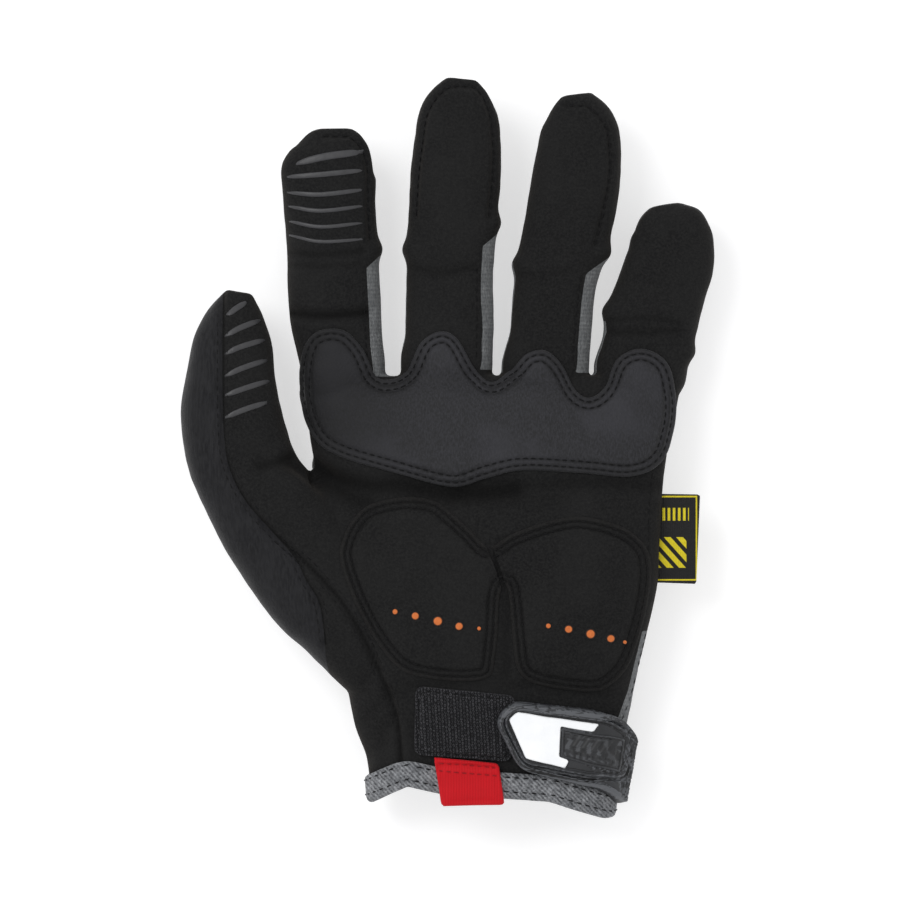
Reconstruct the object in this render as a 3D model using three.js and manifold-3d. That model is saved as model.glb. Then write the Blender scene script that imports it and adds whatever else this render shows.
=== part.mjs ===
// A left-hand mechanic glove, lying on its armoured back with the palm up.
// Millimetres. +Y runs from the cuff to the fingertips, +X from the thumb to the little finger, +Z up.
// The glove is a thin hollow skin cut into sewn panels. Pads, guards and straps follow the same skin,
// each in its own layer: a layer is the space between two skins grown by two heights.
import * as THREE from "three";
import { mergeVertices } from "three/addons/utils/BufferGeometryUtils.js";
import Module from "manifold-3d";

const wasm = await Module();
wasm.setup();

// Sizes of the hand part. Lengths run along Y, widths along X and depths along Z.
const palm = { length: 140, width: 124, depth: 34 };
const thumb = { length: 125, width: 38, depth: 26, height: 16 };
const fingers = {
  index: { length: 81, width: 31, depth: 21.5 },
  middle: { length: 96, width: 30.4, depth: 22 },
  ring: { length: 91.5, width: 29.6, depth: 21 },
  little: { length: 57.5, width: 29, depth: 19.5 },
};

// Where the fingers and the thumb leave the palm, as shares of palm.width and palm.length. lean is how
// far each tip lies sideways of its root, as a share of the finger's own length.
const roots = {
  index: { across: -0.385, along: 1.011, lean: -0.035 },
  middle: { across: -0.118, along: 1.029, lean: 0.056 },
  ring: { across: 0.152, along: 1.021, lean: 0.092 },
  little: { across: 0.394, along: 1.011, lean: 0.191 },
  thumb: { across: -0.355, along: 0.357, lean: -0.326 },
};

// The fingers curl up off the flat from the knuckles on, by rise at reach past them.
const curl = { knuckles: 1, reach: 100, rise: 10 };

// Thicknesses and clearances.
const wall = 1.6;
const gap = 0.3;
const padThick = 1.8;
const heelThick = 1.6;
const loopThick = 1.5;
const strapThick = 2.3;
const rimHeight = 0.9;
const plateThick = 0.6;
const guardThick = 5.4;
const guardBase = 1.3;
const bindingThick = 1.2;
const bindingBand = 7.5;
const tabThick = 1.5;
const tagThick = 1.2;
const backHeight = 5;
const fingerHeight = 5.7;

// Fineness of the lofts.
const palmSides = 18;
const fingerSides = 10;
const thumbSides = 10;
const squareness = 2.5;

const colour = {
  suede: new THREE.MeshStandardMaterial({ color: 0x232221, roughness: 0.95, metalness: 0 }),
  stretch: new THREE.MeshStandardMaterial({ color: 0x222327, roughness: 0.9, metalness: 0 }),
  mesh: new THREE.MeshStandardMaterial({ color: 0x1d2022, roughness: 0.9, metalness: 0 }),
  gusset: new THREE.MeshStandardMaterial({ color: 0x55575a, roughness: 0.9, metalness: 0 }),
  armortex: new THREE.MeshStandardMaterial({ color: 0x33323a, roughness: 0.85, metalness: 0 }),
  guard: new THREE.MeshStandardMaterial({ color: 0x6a6e6e, roughness: 0.55, metalness: 0 }),
  darkGuard: new THREE.MeshStandardMaterial({ color: 0x3a3b3e, roughness: 0.5, metalness: 0 }),
  loop: new THREE.MeshStandardMaterial({ color: 0x17191a, roughness: 1, metalness: 0 }),
  binding: new THREE.MeshStandardMaterial({ color: 0x5c5f62, roughness: 0.9, metalness: 0 }),
  ribbon: new THREE.MeshStandardMaterial({ color: 0xc01f2b, roughness: 0.7, metalness: 0 }),
  reflector: new THREE.MeshStandardMaterial({ color: 0xf2f4f6, roughness: 0.4, metalness: 0 }),
  tag: new THREE.MeshStandardMaterial({ color: 0xe8dc1e, roughness: 0.8, metalness: 0 }),
};

// Sections of the palm from past the cuff to the finger roots. along is a share of palm.length,
// left and right are shares of palm.width from the centreline, depth is a share of palm.depth and
// base is the underside's height as a share of backHeight.
const palmSections = [
  { along: -0.12, left: -0.315, right: 0.31, depth: 0.8, base: 0.5 },
  { along: 0, left: -0.326, right: 0.323, depth: 0.82, base: 0.5 },
  { along: 0.1, left: -0.34, right: 0.345, depth: 0.86, base: 0.5 },
  { along: 0.17, left: -0.368, right: 0.358, depth: 0.9, base: 0.5 },
  { along: 0.24, left: -0.384, right: 0.374, depth: 0.95, base: 0.56 },
  { along: 0.4, left: -0.41, right: 0.431, depth: 1, base: 0.75 },
  { along: 0.51, left: -0.435, right: 0.455, depth: 1, base: 0.9 },
  { along: 0.69, left: -0.468, right: 0.471, depth: 0.94, base: 1 },
  { along: 0.89, left: -0.494, right: 0.494, depth: 0.8, base: 1 },
  { along: 0.97, left: -0.5, right: 0.503, depth: 0.72, base: 1 },
  { along: 1.005, left: -0.495, right: 0.5, depth: 0.6, base: 1 },
];

// Sections of each finger. along is a share of its length, shift a share of its width off the straight
// line from root to tip, and width and depth are shares of its own width and depth.
const fingerSections = {
  index: [
    { along: -0.18, shift: 0.05, width: 0.6, depth: 0.5 },
    { along: 0, shift: -0.03, width: 1, depth: 1.08 },
    { along: 0.22, shift: -0.1, width: 1.05, depth: 1.04 },
    { along: 0.6, shift: -0.135, width: 1.03, depth: 0.98 },
    { along: 0.79, shift: -0.15, width: 1.12, depth: 0.86 },
    { along: 0.9, shift: -0.04, width: 0.89, depth: 0.7 },
    { along: 0.975, shift: 0.01, width: 0.6, depth: 0.46 },
    { along: 1, shift: 0.02, width: 0.32, depth: 0.28 },
  ],
  middle: [
    { along: -0.16, shift: -0.02, width: 0.6, depth: 0.5 },
    { along: -0.02, shift: -0.04, width: 1.16, depth: 1.08 },
    { along: 0.09, shift: -0.01, width: 1.04, depth: 1.05 },
    { along: 0.3, shift: -0.02, width: 0.98, depth: 1.02 },
    { along: 0.46, shift: -0.04, width: 1.01, depth: 1 },
    { along: 0.78, shift: -0.02, width: 1.02, depth: 0.9 },
    { along: 0.89, shift: 0, width: 0.88, depth: 0.74 },
    { along: 0.955, shift: 0, width: 0.62, depth: 0.5 },
    { along: 0.99, shift: 0, width: 0.34, depth: 0.28 },
  ],
  ring: [
    { along: -0.16, shift: -0.02, width: 0.6, depth: 0.5 },
    { along: -0.01, shift: -0.02, width: 1.06, depth: 1.08 },
    { along: 0.1, shift: 0, width: 0.96, depth: 1.05 },
    { along: 0.3, shift: 0, width: 0.93, depth: 1.02 },
    { along: 0.56, shift: 0.065, width: 1.01, depth: 0.98 },
    { along: 0.79, shift: 0.11, width: 1, depth: 0.9 },
    { along: 0.9, shift: 0.06, width: 0.85, depth: 0.72 },
    { along: 0.965, shift: 0.02, width: 0.58, depth: 0.5 },
    { along: 0.995, shift: 0, width: 0.34, depth: 0.28 },
  ],
  little: [
    { along: -0.26, shift: 0.02, width: 0.6, depth: 0.5 },
    { along: -0.02, shift: 0, width: 1.05, depth: 1.08 },
    { along: 0.14, shift: 0.02, width: 1, depth: 1.05 },
    { along: 0.42, shift: 0.08, width: 1, depth: 1.02 },
    { along: 0.68, shift: 0.1, width: 0.99, depth: 0.97 },
    { along: 0.84, shift: 0.03, width: 0.87, depth: 0.78 },
    { along: 0.93, shift: -0.05, width: 0.6, depth: 0.5 },
    { along: 0.97, shift: -0.08, width: 0.34, depth: 0.28 },
  ],
};

// Sections of the thumb, with bow as a share of thumb.width to the outside of its straight line.
const thumbSections = [
  { along: -0.16, bow: -0.1, width: 0.2, depth: 0.3 },
  { along: -0.06, bow: 0.04, width: 0.76, depth: 0.85 },
  { along: 0.09, bow: 0.04, width: 0.97, depth: 1.05 },
  { along: 0.26, bow: 0.2, width: 1.05, depth: 1.1 },
  { along: 0.42, bow: 0.33, width: 1.06, depth: 1.06 },
  { along: 0.62, bow: 0.4, width: 1, depth: 1 },
  { along: 0.8, bow: 0.27, width: 0.8, depth: 0.92 },
  { along: 0.91, bow: 0.13, width: 0.62, depth: 0.76 },
  { along: 0.965, bow: 0.04, width: 0.42, depth: 0.55 },
  { along: 1, bow: -0.02, width: 0.22, depth: 0.3 },
];

// The cuff's edge, from the thumb side to the little finger side, as shares of palm.width and palm.length.
const hem = [
  { across: -0.5, along: -0.012 },
  { across: -0.33, along: -0.008 },
  { across: -0.229, along: 0.033 },
  { across: -0.132, along: 0.014 },
  { across: 0.045, along: 0.003 },
  { across: 0.15, along: -0.003 },
  { across: 0.22, along: -0.023 },
  { across: 0.3, along: -0.046 },
  { across: 0.5, along: -0.02 },
];

// The seam that runs down the thumb and over the heel of the hand to the cuff, in the same shares.
const thumbSeam = [
  { across: -0.703, along: 1.3 },
  { across: -0.706, along: 1.01 },
  { across: -0.706, along: 0.84 },
  { across: -0.675, along: 0.747 },
  { across: -0.594, along: 0.65 },
  { across: -0.5, along: 0.56 },
  { across: -0.434, along: 0.45 },
  { across: -0.425, along: 0.32 },
  { across: -0.392, along: 0.26 },
];

const clampLow = (value, low) => Math.max(value, low);
const power = (value, exponent) => Math.sign(value) * Math.abs(value) ** exponent;

// How far the fingers curl up off the flat at a distance y from the cuff.
const lift = (y) => curl.rise * (clampLow(y - curl.knuckles * palm.length, 0) / curl.reach) ** 2;

// A closed ring of points round a centre: across is a unit vector in the XY plane, and the outline is
// a rounded box whose corners get squarer as squareness grows.
function ring(centre, across, halfWidth, halfDepth, sides) {
  return Array.from({ length: sides }, (_, k) => {
    const turn = (2 * Math.PI * (k + 0.5)) / sides;
    const side = halfWidth * power(Math.cos(turn), 2 / squareness);
    const up = halfDepth * power(Math.sin(turn), 2 / squareness);
    return new THREE.Vector3(centre.x + across.x * side, centre.y + across.y * side, centre.z + up);
  });
}

// A closed skin through rings of as many points each, with a flat cap at both ends.
function loft(rings) {
  const sides = rings[0].length;
  const points = rings.flat();
  const mean = (r) => r.reduce((sum, p) => sum.add(p), new THREE.Vector3()).divideScalar(sides);
  const first = points.push(mean(rings[0])) - 1;
  const last = points.push(mean(rings.at(-1))) - 1;
  const faces = [];
  rings.slice(1).forEach((_, r) => {
    for (let k = 0; k < sides; k++) {
      const a = r * sides + k;
      const b = r * sides + ((k + 1) % sides);
      faces.push(a, b, b + sides, a, b + sides, a + sides);
    }
  });
  const top = (rings.length - 1) * sides;
  for (let k = 0; k < sides; k++) {
    const next = (k + 1) % sides;
    faces.push(first, next, k, last, top + k, top + next);
  }
  const geometry = new THREE.BufferGeometry().setFromPoints(points);
  geometry.setIndex(faces);
  return geometry;
}

// A manifold-3d solid from a geometry, turned so that its faces point outwards.
function solid(geometry) {
  const bare = geometry.clone();
  bare.deleteAttribute("normal");
  bare.deleteAttribute("uv");
  const merged = mergeVertices(bare, 1e-4);
  const triVerts = new Uint32Array(merged.index.array);
  const make = () =>
    new wasm.Manifold(
      new wasm.Mesh({ numProp: 3, vertProperties: merged.attributes.position.array, triVerts }),
    );
  const made = make();
  if (made.volume() > 0) return made;
  for (let i = 0; i < triVerts.length; i += 3) {
    [triVerts[i + 1], triVerts[i + 2]] = [triVerts[i + 2], triVerts[i + 1]];
  }
  return make();
}

// The largest piece of a solid, which drops the slivers that a cut leaves.
function largest(made) {
  return made.decompose().reduce((a, b) => (a.volume() > b.volume() ? a : b));
}

function palmLoft(grow) {
  return loft(
    palmSections.map((row, i) => {
      const end = i === palmSections.length - 1 ? grow : 0;
      const halfWidth = ((row.right - row.left) * palm.width) / 2 + grow;
      const halfDepth = (row.depth * palm.depth) / 2;
      const centre = {
        x: ((row.right + row.left) * palm.width) / 2,
        y: row.along * palm.length + end,
        z: row.base * backHeight + halfDepth,
      };
      return ring(centre, { x: 1, y: 0 }, halfWidth, halfDepth + grow, palmSides);
    }),
  );
}

// A finger-like loft. Each ring stands square to the line through the centres of its neighbours.
function limbLoft(centres, halves, sides, grow) {
  const rings = centres.map((centre, i) => {
    const before = centres[Math.max(i - 1, 0)];
    const after = centres[Math.min(i + 1, centres.length - 1)];
    const ahead = new THREE.Vector2(after.x - before.x, after.y - before.y).normalize();
    const end = i === centres.length - 1 ? grow : 0;
    const moved = { x: centre.x + ahead.x * end, y: centre.y + ahead.y * end, z: centre.z };
    const halfWidth = clampLow(halves[i].width + grow, 0.6);
    const halfDepth = clampLow(halves[i].depth + grow, 0.5);
    return ring(moved, { x: ahead.y, y: -ahead.x }, halfWidth, halfDepth, sides);
  });
  return loft(rings);
}

const fingerCentre = (name, row) => {
  const f = fingers[name];
  const root = roots[name];
  const y = root.along * palm.length + row.along * f.length;
  const x = root.across * palm.width + row.along * root.lean * f.length + row.shift * f.width;
  return new THREE.Vector3(x, y, fingerHeight + f.depth / 2 + lift(y));
};

function fingerLoft(name, grow) {
  const f = fingers[name];
  const rows = fingerSections[name];
  const halves = rows.map((row) => ({ width: (row.width * f.width) / 2, depth: (row.depth * f.depth) / 2 }));
  return limbLoft(rows.map((row) => fingerCentre(name, row)), halves, fingerSides, grow);
}

function thumbLoft(grow) {
  const root = roots.thumb;
  const ahead = new THREE.Vector2(root.lean, Math.sqrt(1 - root.lean ** 2));
  const centres = thumbSections.map((row) => {
    const along = row.along * thumb.length;
    const bow = row.bow * thumb.width;
    const x = root.across * palm.width + ahead.x * along - ahead.y * bow;
    const y = root.along * palm.length + ahead.y * along + ahead.x * bow;
    return new THREE.Vector3(x, y, backHeight + thumb.height);
  });
  const halves = thumbSections.map((row) => ({
    width: (row.width * thumb.width) / 2,
    depth: (row.depth * thumb.depth) / 2,
  }));
  return limbLoft(centres, halves, thumbSides, grow);
}

// The whole hand form, grown outwards by a height, or inwards by a negative one.
const grown = new Map();
function hand(grow) {
  const key = grow.toFixed(3);
  if (!grown.has(key)) {
    const limbs = Object.keys(fingers).map((name) => solid(fingerLoft(name, grow)));
    grown.set(key, [...limbs, solid(thumbLoft(grow))].reduce((a, b) => a.add(b), solid(palmLoft(grow))));
  }
  return grown.get(key);
}

// The layer of space between the hand form grown by two heights.
const layer = (low, high) => hand(high).subtract(hand(low));

// Heights and distances that clear every piece.
const clearHeight = 9;
const far = 400;

// An upright prism over an outline, which is a list of points in the XY plane.
function prism(outline, low = -far, high = far) {
  const shape = new THREE.Shape(outline.map((p) => new THREE.Vector2(p.x, p.y)));
  const geometry = new THREE.ExtrudeGeometry(shape, { depth: high - low, bevelEnabled: false });
  return solid(geometry.translate(0, 0, low));
}

const boxBetween = (low, high) =>
  solid(
    new THREE.BoxGeometry(high.x - low.x, high.y - low.y, high.z - low.z).translate(
      (low.x + high.x) / 2,
      (low.y + high.y) / 2,
      (low.z + high.z) / 2,
    ),
  );

// Points given as shares of the palm, in millimetres.
const onPalm = (row) => new THREE.Vector2(row.across * palm.width, row.along * palm.length);

// A smooth closed outline through points.
function smooth(points, steps) {
  const curve = new THREE.CatmullRomCurve3(
    points.map((p) => new THREE.Vector3(p.x, p.y, 0)),
    true,
  );
  return curve.getSpacedPoints(steps).slice(0, -1);
}

// An outline of straight sides whose corners are rounded to a radius.
function rounded(corners, radius, steps = 3) {
  const points = [];
  corners.forEach((corner, i) => {
    const before = corners.at(i - 1);
    const after = corners[(i + 1) % corners.length];
    const inward = (other) => {
      const way = new THREE.Vector2(other.x - corner.x, other.y - corner.y);
      return way.setLength(Math.min(radius, way.length() / 2)).add(corner);
    };
    const bend = new THREE.QuadraticBezierCurve(inward(before), corner.clone(), inward(after));
    points.push(...bend.getPoints(steps));
  });
  return points;
}

// Height of the side seams above the floor: half-way up the palm and then half-way up the fingers.
const middleDepth = fingers.middle.depth;
const seamRows = [
  ...palmSections
    .filter((row, i) => i % 2 === 0 && row.along < 0.9)
    .map((row) => ({ y: row.along * palm.length, z: row.base * backHeight + (row.depth * palm.depth) / 2 })),
  ...[1.06, 1.35, 1.6, 1.85].map((share) => ({
    y: share * palm.length,
    z: fingerHeight + middleDepth / 2 + lift(share * palm.length),
  })),
];

// All space between two heights over the seam surface, which runs straight across in X.
function slab(low, high) {
  const upper = seamRows.map((row) => new THREE.Vector2(row.y, row.z + high));
  const lower = seamRows.map((row) => new THREE.Vector2(row.y, row.z + low)).reverse();
  const shape = new THREE.Shape([...upper, ...lower]);
  const geometry = new THREE.ExtrudeGeometry(shape, { depth: 2 * far, bevelEnabled: false });
  const toWorld = new THREE.Matrix4().makeBasis(
    new THREE.Vector3(0, 1, 0),
    new THREE.Vector3(0, 0, 1),
    new THREE.Vector3(1, 0, 0),
  );
  return solid(geometry.translate(0, 0, -far).applyMatrix4(toWorld));
}
const above = (height) => slab(height, far);
const below = (height) => slab(-far, height);

// Where a finger's outline runs, and its centreline, at a share of its length.
function fingerAt(name, along) {
  const f = fingers[name];
  const rows = fingerSections[name];
  const last = rows.length - 2;
  const i = Math.min(Math.max(rows.findIndex((row) => row.along > along) - 1, 0), last);
  const t = (along - rows[i].along) / (rows[i + 1].along - rows[i].along);
  const mixed = (column) => THREE.MathUtils.lerp(rows[i][column], rows[i + 1][column], t);
  const centre = fingerCentre(name, { along, shift: mixed("shift") });
  const half = (mixed("width") * f.width) / 2;
  return { centre, half, left: centre.x - half, right: centre.x + half };
}

// All space on the palm's side of the cuff's edge, moved along Y.
function pastHem(shift) {
  const edge = hem.map(onPalm).map((p) => new THREE.Vector2(p.x, p.y + shift));
  edge[0].x = -far;
  edge.at(-1).x = far;
  return prism([...edge, new THREE.Vector2(far, far), new THREE.Vector2(-far, far)]);
}

// The gusset's share of the skin between two fingers: the side wall of the first from its shoulder,
// and the lower side wall of the second, joined across the fork.
const gusset = {
  start: -0.09,
  end: 0.42,
  inset: 4.6,
  secondInset: 1.2,
  below: 5.5,
  above: 9,
  secondAbove: 3,
};
function gussetSpace(first, second, grow) {
  const steps = [gusset.start, 0, 0.1, 0.25, gusset.end];
  const last = steps.length - 1;
  const at = (name, pick) => steps.map((s) => ({ s, p: fingerAt(name, s), pick })).map(pick);
  const stretch = (i) => (i === 0 ? -grow : i === last ? grow : 0);
  const point = (x, p, i) => new THREE.Vector2(x, p.centre.y + stretch(i));
  const fork = (i) => (fingerAt(first, steps[i]).right + fingerAt(second, steps[i]).left) / 2;
  const firstSide = [
    ...at(first, ({ p }, i) => point(p.right - gusset.inset - grow, p, i)),
    ...at(first, ({ p }, i) => point(fork(i) + 0.5 + grow, p, i)).reverse(),
  ];
  const secondSide = [
    ...at(second, ({ p }, i) => point(fork(i) - 0.5 - grow, p, i)),
    ...at(second, ({ p }, i) => point(p.left + gusset.secondInset + grow, p, i)).reverse(),
  ];
  const low = -gusset.below - grow;
  return prism(firstSide)
    .intersect(slab(low, gusset.above + grow))
    .add(prism(secondSide).intersect(slab(low, gusset.secondAbove + grow)));
}

// The outer thumb panel's share: all that lies outside the thumb seam on the palm side, and outside a
// line from the thumb's fork to the wrist on the back.
const thumbBackLine = { forkAcross: -0.505, forkAlong: 0.83, wristAcross: -0.4, wristAlong: 0.27 };
function thumbSpace(grow) {
  const seam = thumbSeam.map(onPalm).map((p) => new THREE.Vector2(p.x + grow, p.y));
  const wristY = seam.at(-1).y - grow;
  const outside = [...seam, new THREE.Vector2(-far, wristY), new THREE.Vector2(-far, seam[0].y)];
  outside[thumbSeam.length - 1].y = wristY;
  const fork = onPalm({ across: thumbBackLine.forkAcross, along: thumbBackLine.forkAlong });
  const wrist = onPalm({ across: thumbBackLine.wristAcross, along: thumbBackLine.wristAlong });
  const back = [
    new THREE.Vector2(fork.x + grow, seam[0].y),
    new THREE.Vector2(fork.x + grow, fork.y),
    new THREE.Vector2(wrist.x + grow, wristY),
    new THREE.Vector2(-far, wristY),
    new THREE.Vector2(-far, seam[0].y),
  ];
  const indexSide = prism([
    new THREE.Vector2(fork.x + grow, seam[0].y),
    new THREE.Vector2(fork.x + grow, fork.y + 6),
    new THREE.Vector2(fork.x - 4, fork.y + 6),
    new THREE.Vector2(fork.x - 4, seam[0].y),
  ]);
  return prism(outside).add(prism(back).intersect(below(grow))).subtract(indexSide);
}

// Outlines of the pieces that lie on the palm side, as shares of palm.width and palm.length.
const knucklePadOutline = [
  { across: -0.51, along: 0.949 },
  { across: -0.505, along: 1.06 },
  { across: -0.47, along: 1.108 },
  { across: -0.4, along: 1.112 },
  { across: -0.35, along: 1.07 },
  { across: -0.315, along: 1.004 },
  { across: -0.277, along: 0.991 },
  { across: -0.229, along: 1.011 },
  { across: -0.19, along: 1.083 },
  { across: -0.139, along: 1.109 },
  { across: -0.094, along: 1.091 },
  { across: -0.048, along: 1.02 },
  { across: -0.003, along: 0.986 },
  { across: 0.052, along: 1.017 },
  { across: 0.09, along: 1.055 },
  { across: 0.14, along: 1.064 },
  { across: 0.185, along: 1.03 },
  { across: 0.22, along: 0.97 },
  { across: 0.258, along: 0.951 },
  { across: 0.3, along: 0.977 },
  { across: 0.335, along: 1.045 },
  { across: 0.4, along: 1.068 },
  { across: 0.465, along: 1.036 },
  { across: 0.486, along: 0.96 },
  { across: 0.48, along: 0.877 },
  { across: 0.445, along: 0.797 },
  { across: 0.368, along: 0.766 },
  { across: 0.235, along: 0.774 },
  { across: 0.077, along: 0.78 },
  { across: -0.016, along: 0.763 },
  { across: -0.11, along: 0.743 },
  { across: -0.245, along: 0.771 },
  { across: -0.403, along: 0.811 },
  { across: -0.475, along: 0.857 },
];
const heelPadOutlines = {
  heel_pad_thumb_side: [
    { across: -0.258, along: 0.717 },
    { across: -0.339, along: 0.697 },
    { across: -0.384, along: 0.654 },
    { across: -0.41, along: 0.591 },
    { across: -0.397, along: 0.554 },
    { across: -0.361, along: 0.474 },
    { across: -0.29, along: 0.389 },
    { across: -0.187, along: 0.286 },
    { across: -0.116, along: 0.281 },
    { across: -0.035, along: 0.286 },
    { across: 0.005, along: 0.343 },
    { across: 0.018, along: 0.483 },
    { across: -0.035, along: 0.577 },
    { across: -0.113, along: 0.657 },
    { across: -0.181, along: 0.711 },
  ],
  heel_pad_little_side: [
    { across: 0.055, along: 0.623 },
    { across: 0.129, along: 0.66 },
    { across: 0.235, along: 0.674 },
    { across: 0.342, along: 0.651 },
    { across: 0.403, along: 0.611 },
    { across: 0.432, along: 0.566 },
    { across: 0.42, along: 0.5 },
    { across: 0.385, along: 0.38 },
    { across: 0.34, along: 0.268 },
    { across: 0.255, along: 0.286 },
    { across: 0.115, along: 0.309 },
    { across: 0.071, along: 0.366 },
    { across: 0.056, along: 0.483 },
  ],
};
const loopCorners = [
  { across: -0.206, along: 0.263 },
  { across: 0.061, along: 0.24 },
  { across: 0.05, along: 0.083 },
  { across: -0.21, along: 0.1 },
];

// The strap's free end on the palm side. Its two last corners lie past the little finger side of the
// wrist, where the strap folds round to the back.
const strapCorners = [
  { across: 0.016, along: 0.183 },
  { across: 0.045, along: 0.226 },
  { across: 0.235, along: 0.213 },
  { across: 0.345, along: 0.18 },
  { across: 0.7, along: 0.15 },
  { across: 0.7, along: -0.03 },
  { across: 0.36, along: -0.014 },
  { across: 0.29, along: 0.02 },
  { across: 0.09, along: 0.053 },
];
const strapWindowCorners = [
  { across: 0.046, along: 0.18 },
  { across: 0.066, along: 0.203 },
  { across: 0.28, along: 0.176 },
  { across: 0.33, along: 0.15 },
  { across: 0.31, along: 0.053 },
  { across: 0.27, along: 0.052 },
  { across: 0.1, along: 0.082 },
];
const reflectorCorners = [
  { across: 0.056, along: 0.18 },
  { across: 0.071, along: 0.194 },
  { across: 0.272, along: 0.167 },
  { across: 0.264, along: 0.156 },
  { across: 0.184, along: 0.164 },
  { across: 0.184, along: 0.089 },
  { across: 0.107, along: 0.09 },
];
const badgeCorners = [
  { across: 0.192, along: 0.154 },
  { across: 0.305, along: 0.142 },
  { across: 0.3, along: 0.066 },
  { across: 0.192, along: 0.082 },
];
const tabCorners = [
  { across: -0.155, along: 0.094 },
  { across: 0.016, along: 0.079 },
  { across: 0.032, along: -0.02 },
  { across: -0.135, along: -0.023 },
];
const tagCorners = [
  { across: 0.35, along: 0.726 },
  { across: 0.555, along: 0.723 },
  { across: 0.545, along: 0.511 },
  { across: 0.35, along: 0.517 },
];

// Outlines of the pieces that lie on the back of the hand, in the same shares.
const cuffPanelCorners = [
  { across: -0.3, along: -0.1 },
  { across: -0.335, along: 0.13 },
  { across: -0.26, along: 0.215 },
  { across: 0.1, along: 0.25 },
  { across: 0.7, along: 0.22 },
  { across: 0.7, along: -0.1 },
];
const labelCorners = [
  { across: -0.17, along: 0.1 },
  { across: -0.17, along: 0.2 },
  { across: 0.17, along: 0.2 },
  { across: 0.17, along: 0.1 },
];
const guardFlangeCorners = [
  { across: 0.7, along: 0.55 },
  { across: 0.33, along: 0.545 },
  { across: 0.2, along: 0.58 },
  { across: 0.04, along: 0.565 },
  { across: -0.1, along: 0.51 },
  { across: -0.29, along: 0.48 },
  { across: -0.36, along: 0.56 },
  { across: -0.45, along: 0.64 },
  { across: -0.48, along: 0.8 },
  { across: -0.41, along: 0.96 },
  { across: -0.34, along: 0.95 },
  { across: -0.22, along: 0.8 },
  { across: -0.205, along: 0.97 },
  { across: -0.03, along: 0.97 },
  { across: 0.017, along: 0.87 },
  { across: 0.065, along: 0.97 },
  { across: 0.235, along: 0.97 },
  { across: 0.275, along: 0.86 },
  { across: 0.315, along: 0.97 },
  { across: 0.47, along: 0.95 },
  { across: 0.7, along: 0.85 },
];
const guardMainCorners = [
  { across: 0.46, along: 0.58 },
  { across: 0.33, along: 0.57 },
  { across: 0.2, along: 0.61 },
  { across: 0.03, along: 0.595 },
  { across: -0.1, along: 0.535 },
  { across: -0.27, along: 0.51 },
  { across: -0.32, along: 0.57 },
  { across: -0.23, along: 0.64 },
  { across: -0.19, along: 0.75 },
  { across: -0.18, along: 0.95 },
  { across: -0.055, along: 0.95 },
  { across: 0.0, along: 0.83 },
  { across: 0.035, along: 0.83 },
  { across: 0.09, along: 0.95 },
  { across: 0.21, along: 0.95 },
  { across: 0.26, along: 0.82 },
  { across: 0.29, along: 0.82 },
  { across: 0.335, along: 0.95 },
  { across: 0.44, along: 0.93 },
  { across: 0.46, along: 0.8 },
];
const guardLobeCorners = [
  { across: -0.26, along: 0.66 },
  { across: -0.42, along: 0.65 },
  { across: -0.445, along: 0.78 },
  { across: -0.4, along: 0.92 },
  { across: -0.35, along: 0.92 },
  { across: -0.23, along: 0.78 },
];
// Grooves cut into the raised guard: each runs from one point to another and is as wide as width, in mm.
const guardGrooves = [
  { fromAcross: 0.36, fromAlong: 0.655, toAcross: -0.12, toAlong: 0.85, width: 2.4 },
  { fromAcross: -0.12, fromAlong: 0.45, toAcross: -0.225, toAlong: 0.625, width: 2 },
  { fromAcross: -0.18, fromAlong: 0.45, toAcross: -0.275, toAlong: 0.62, width: 2 },
  { fromAcross: -0.3, fromAlong: 0.69, toAcross: -0.385, toAlong: 0.87, width: 2 },
  { fromAcross: -0.35, fromAlong: 0.69, toAcross: -0.42, toAlong: 0.85, width: 2 },
];
const grooveDepth = 2;

// The guards on the backs of three fingers: a base strip, raised segments between the joints and a
// cluster of ribs at each joint, all as shares of the finger's length and width.
const fingerGuard = {
  fingers: ["middle", "ring", "little"],
  start: 0.03,
  end: 0.93,
  stripWidth: 0.74,
  segmentWidth: 0.56,
  ribSpan: 0.68,
  segments: [
    { from: 0.16, to: 0.36 },
    { from: 0.48, to: 0.66 },
    { from: 0.78, to: 0.9 },
  ],
  ribClusters: [0.045, 0.37, 0.67],
  ribs: 3,
  ribPitch: 3.2,
  ribWidth: 1.6,
  ribPoint: 2.2,
  segmentThick: 3.2,
  ribThick: 4.2,
};

const glove = new THREE.Group();
function piece(name, made, material) {
  const body = largest(made);
  const data = body.getMesh();
  const geometry = new THREE.BufferGeometry();
  geometry.setAttribute("position", new THREE.BufferAttribute(data.vertProperties, 3));
  geometry.setIndex(new THREE.BufferAttribute(data.triVerts, 1));
  const mesh = new THREE.Mesh(geometry, material);
  mesh.name = name;
  glove.add(mesh);
  return body;
}
const joined = (solids) => solids.reduce((a, b) => a.add(b));
const overFloor = boxBetween({ x: -far, y: -far, z: 0 }, { x: far, y: far, z: far });

// Sewn panels of the hollow skin.
const skin = layer(-wall, 0).intersect(pastHem(0));
const forks = [
  ["index", "middle"],
  ["middle", "ring"],
  ["ring", "little"],
];
const gussetsGrown = joined(forks.map(([a, b]) => gussetSpace(a, b, gap)));

// The side strip lies past a slanting line beside the strap, on the little finger side of the wrist.
const sideStripLine = [
  { across: 0.415, along: 0.4 },
  { across: 0.37, along: 0.26 },
  { across: 0.325, along: 0.17 },
];
function sideStripSpace(grow) {
  const line = sideStripLine.map(onPalm).map((p) => new THREE.Vector2(p.x - grow, p.y));
  line[0].y += grow;
  line.at(-1).y -= grow;
  const outer = [new THREE.Vector2(far, line.at(-1).y), new THREE.Vector2(far, line[0].y)];
  return prism([...line, ...outer]).intersect(slab(-6 - grow, far));
}

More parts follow.
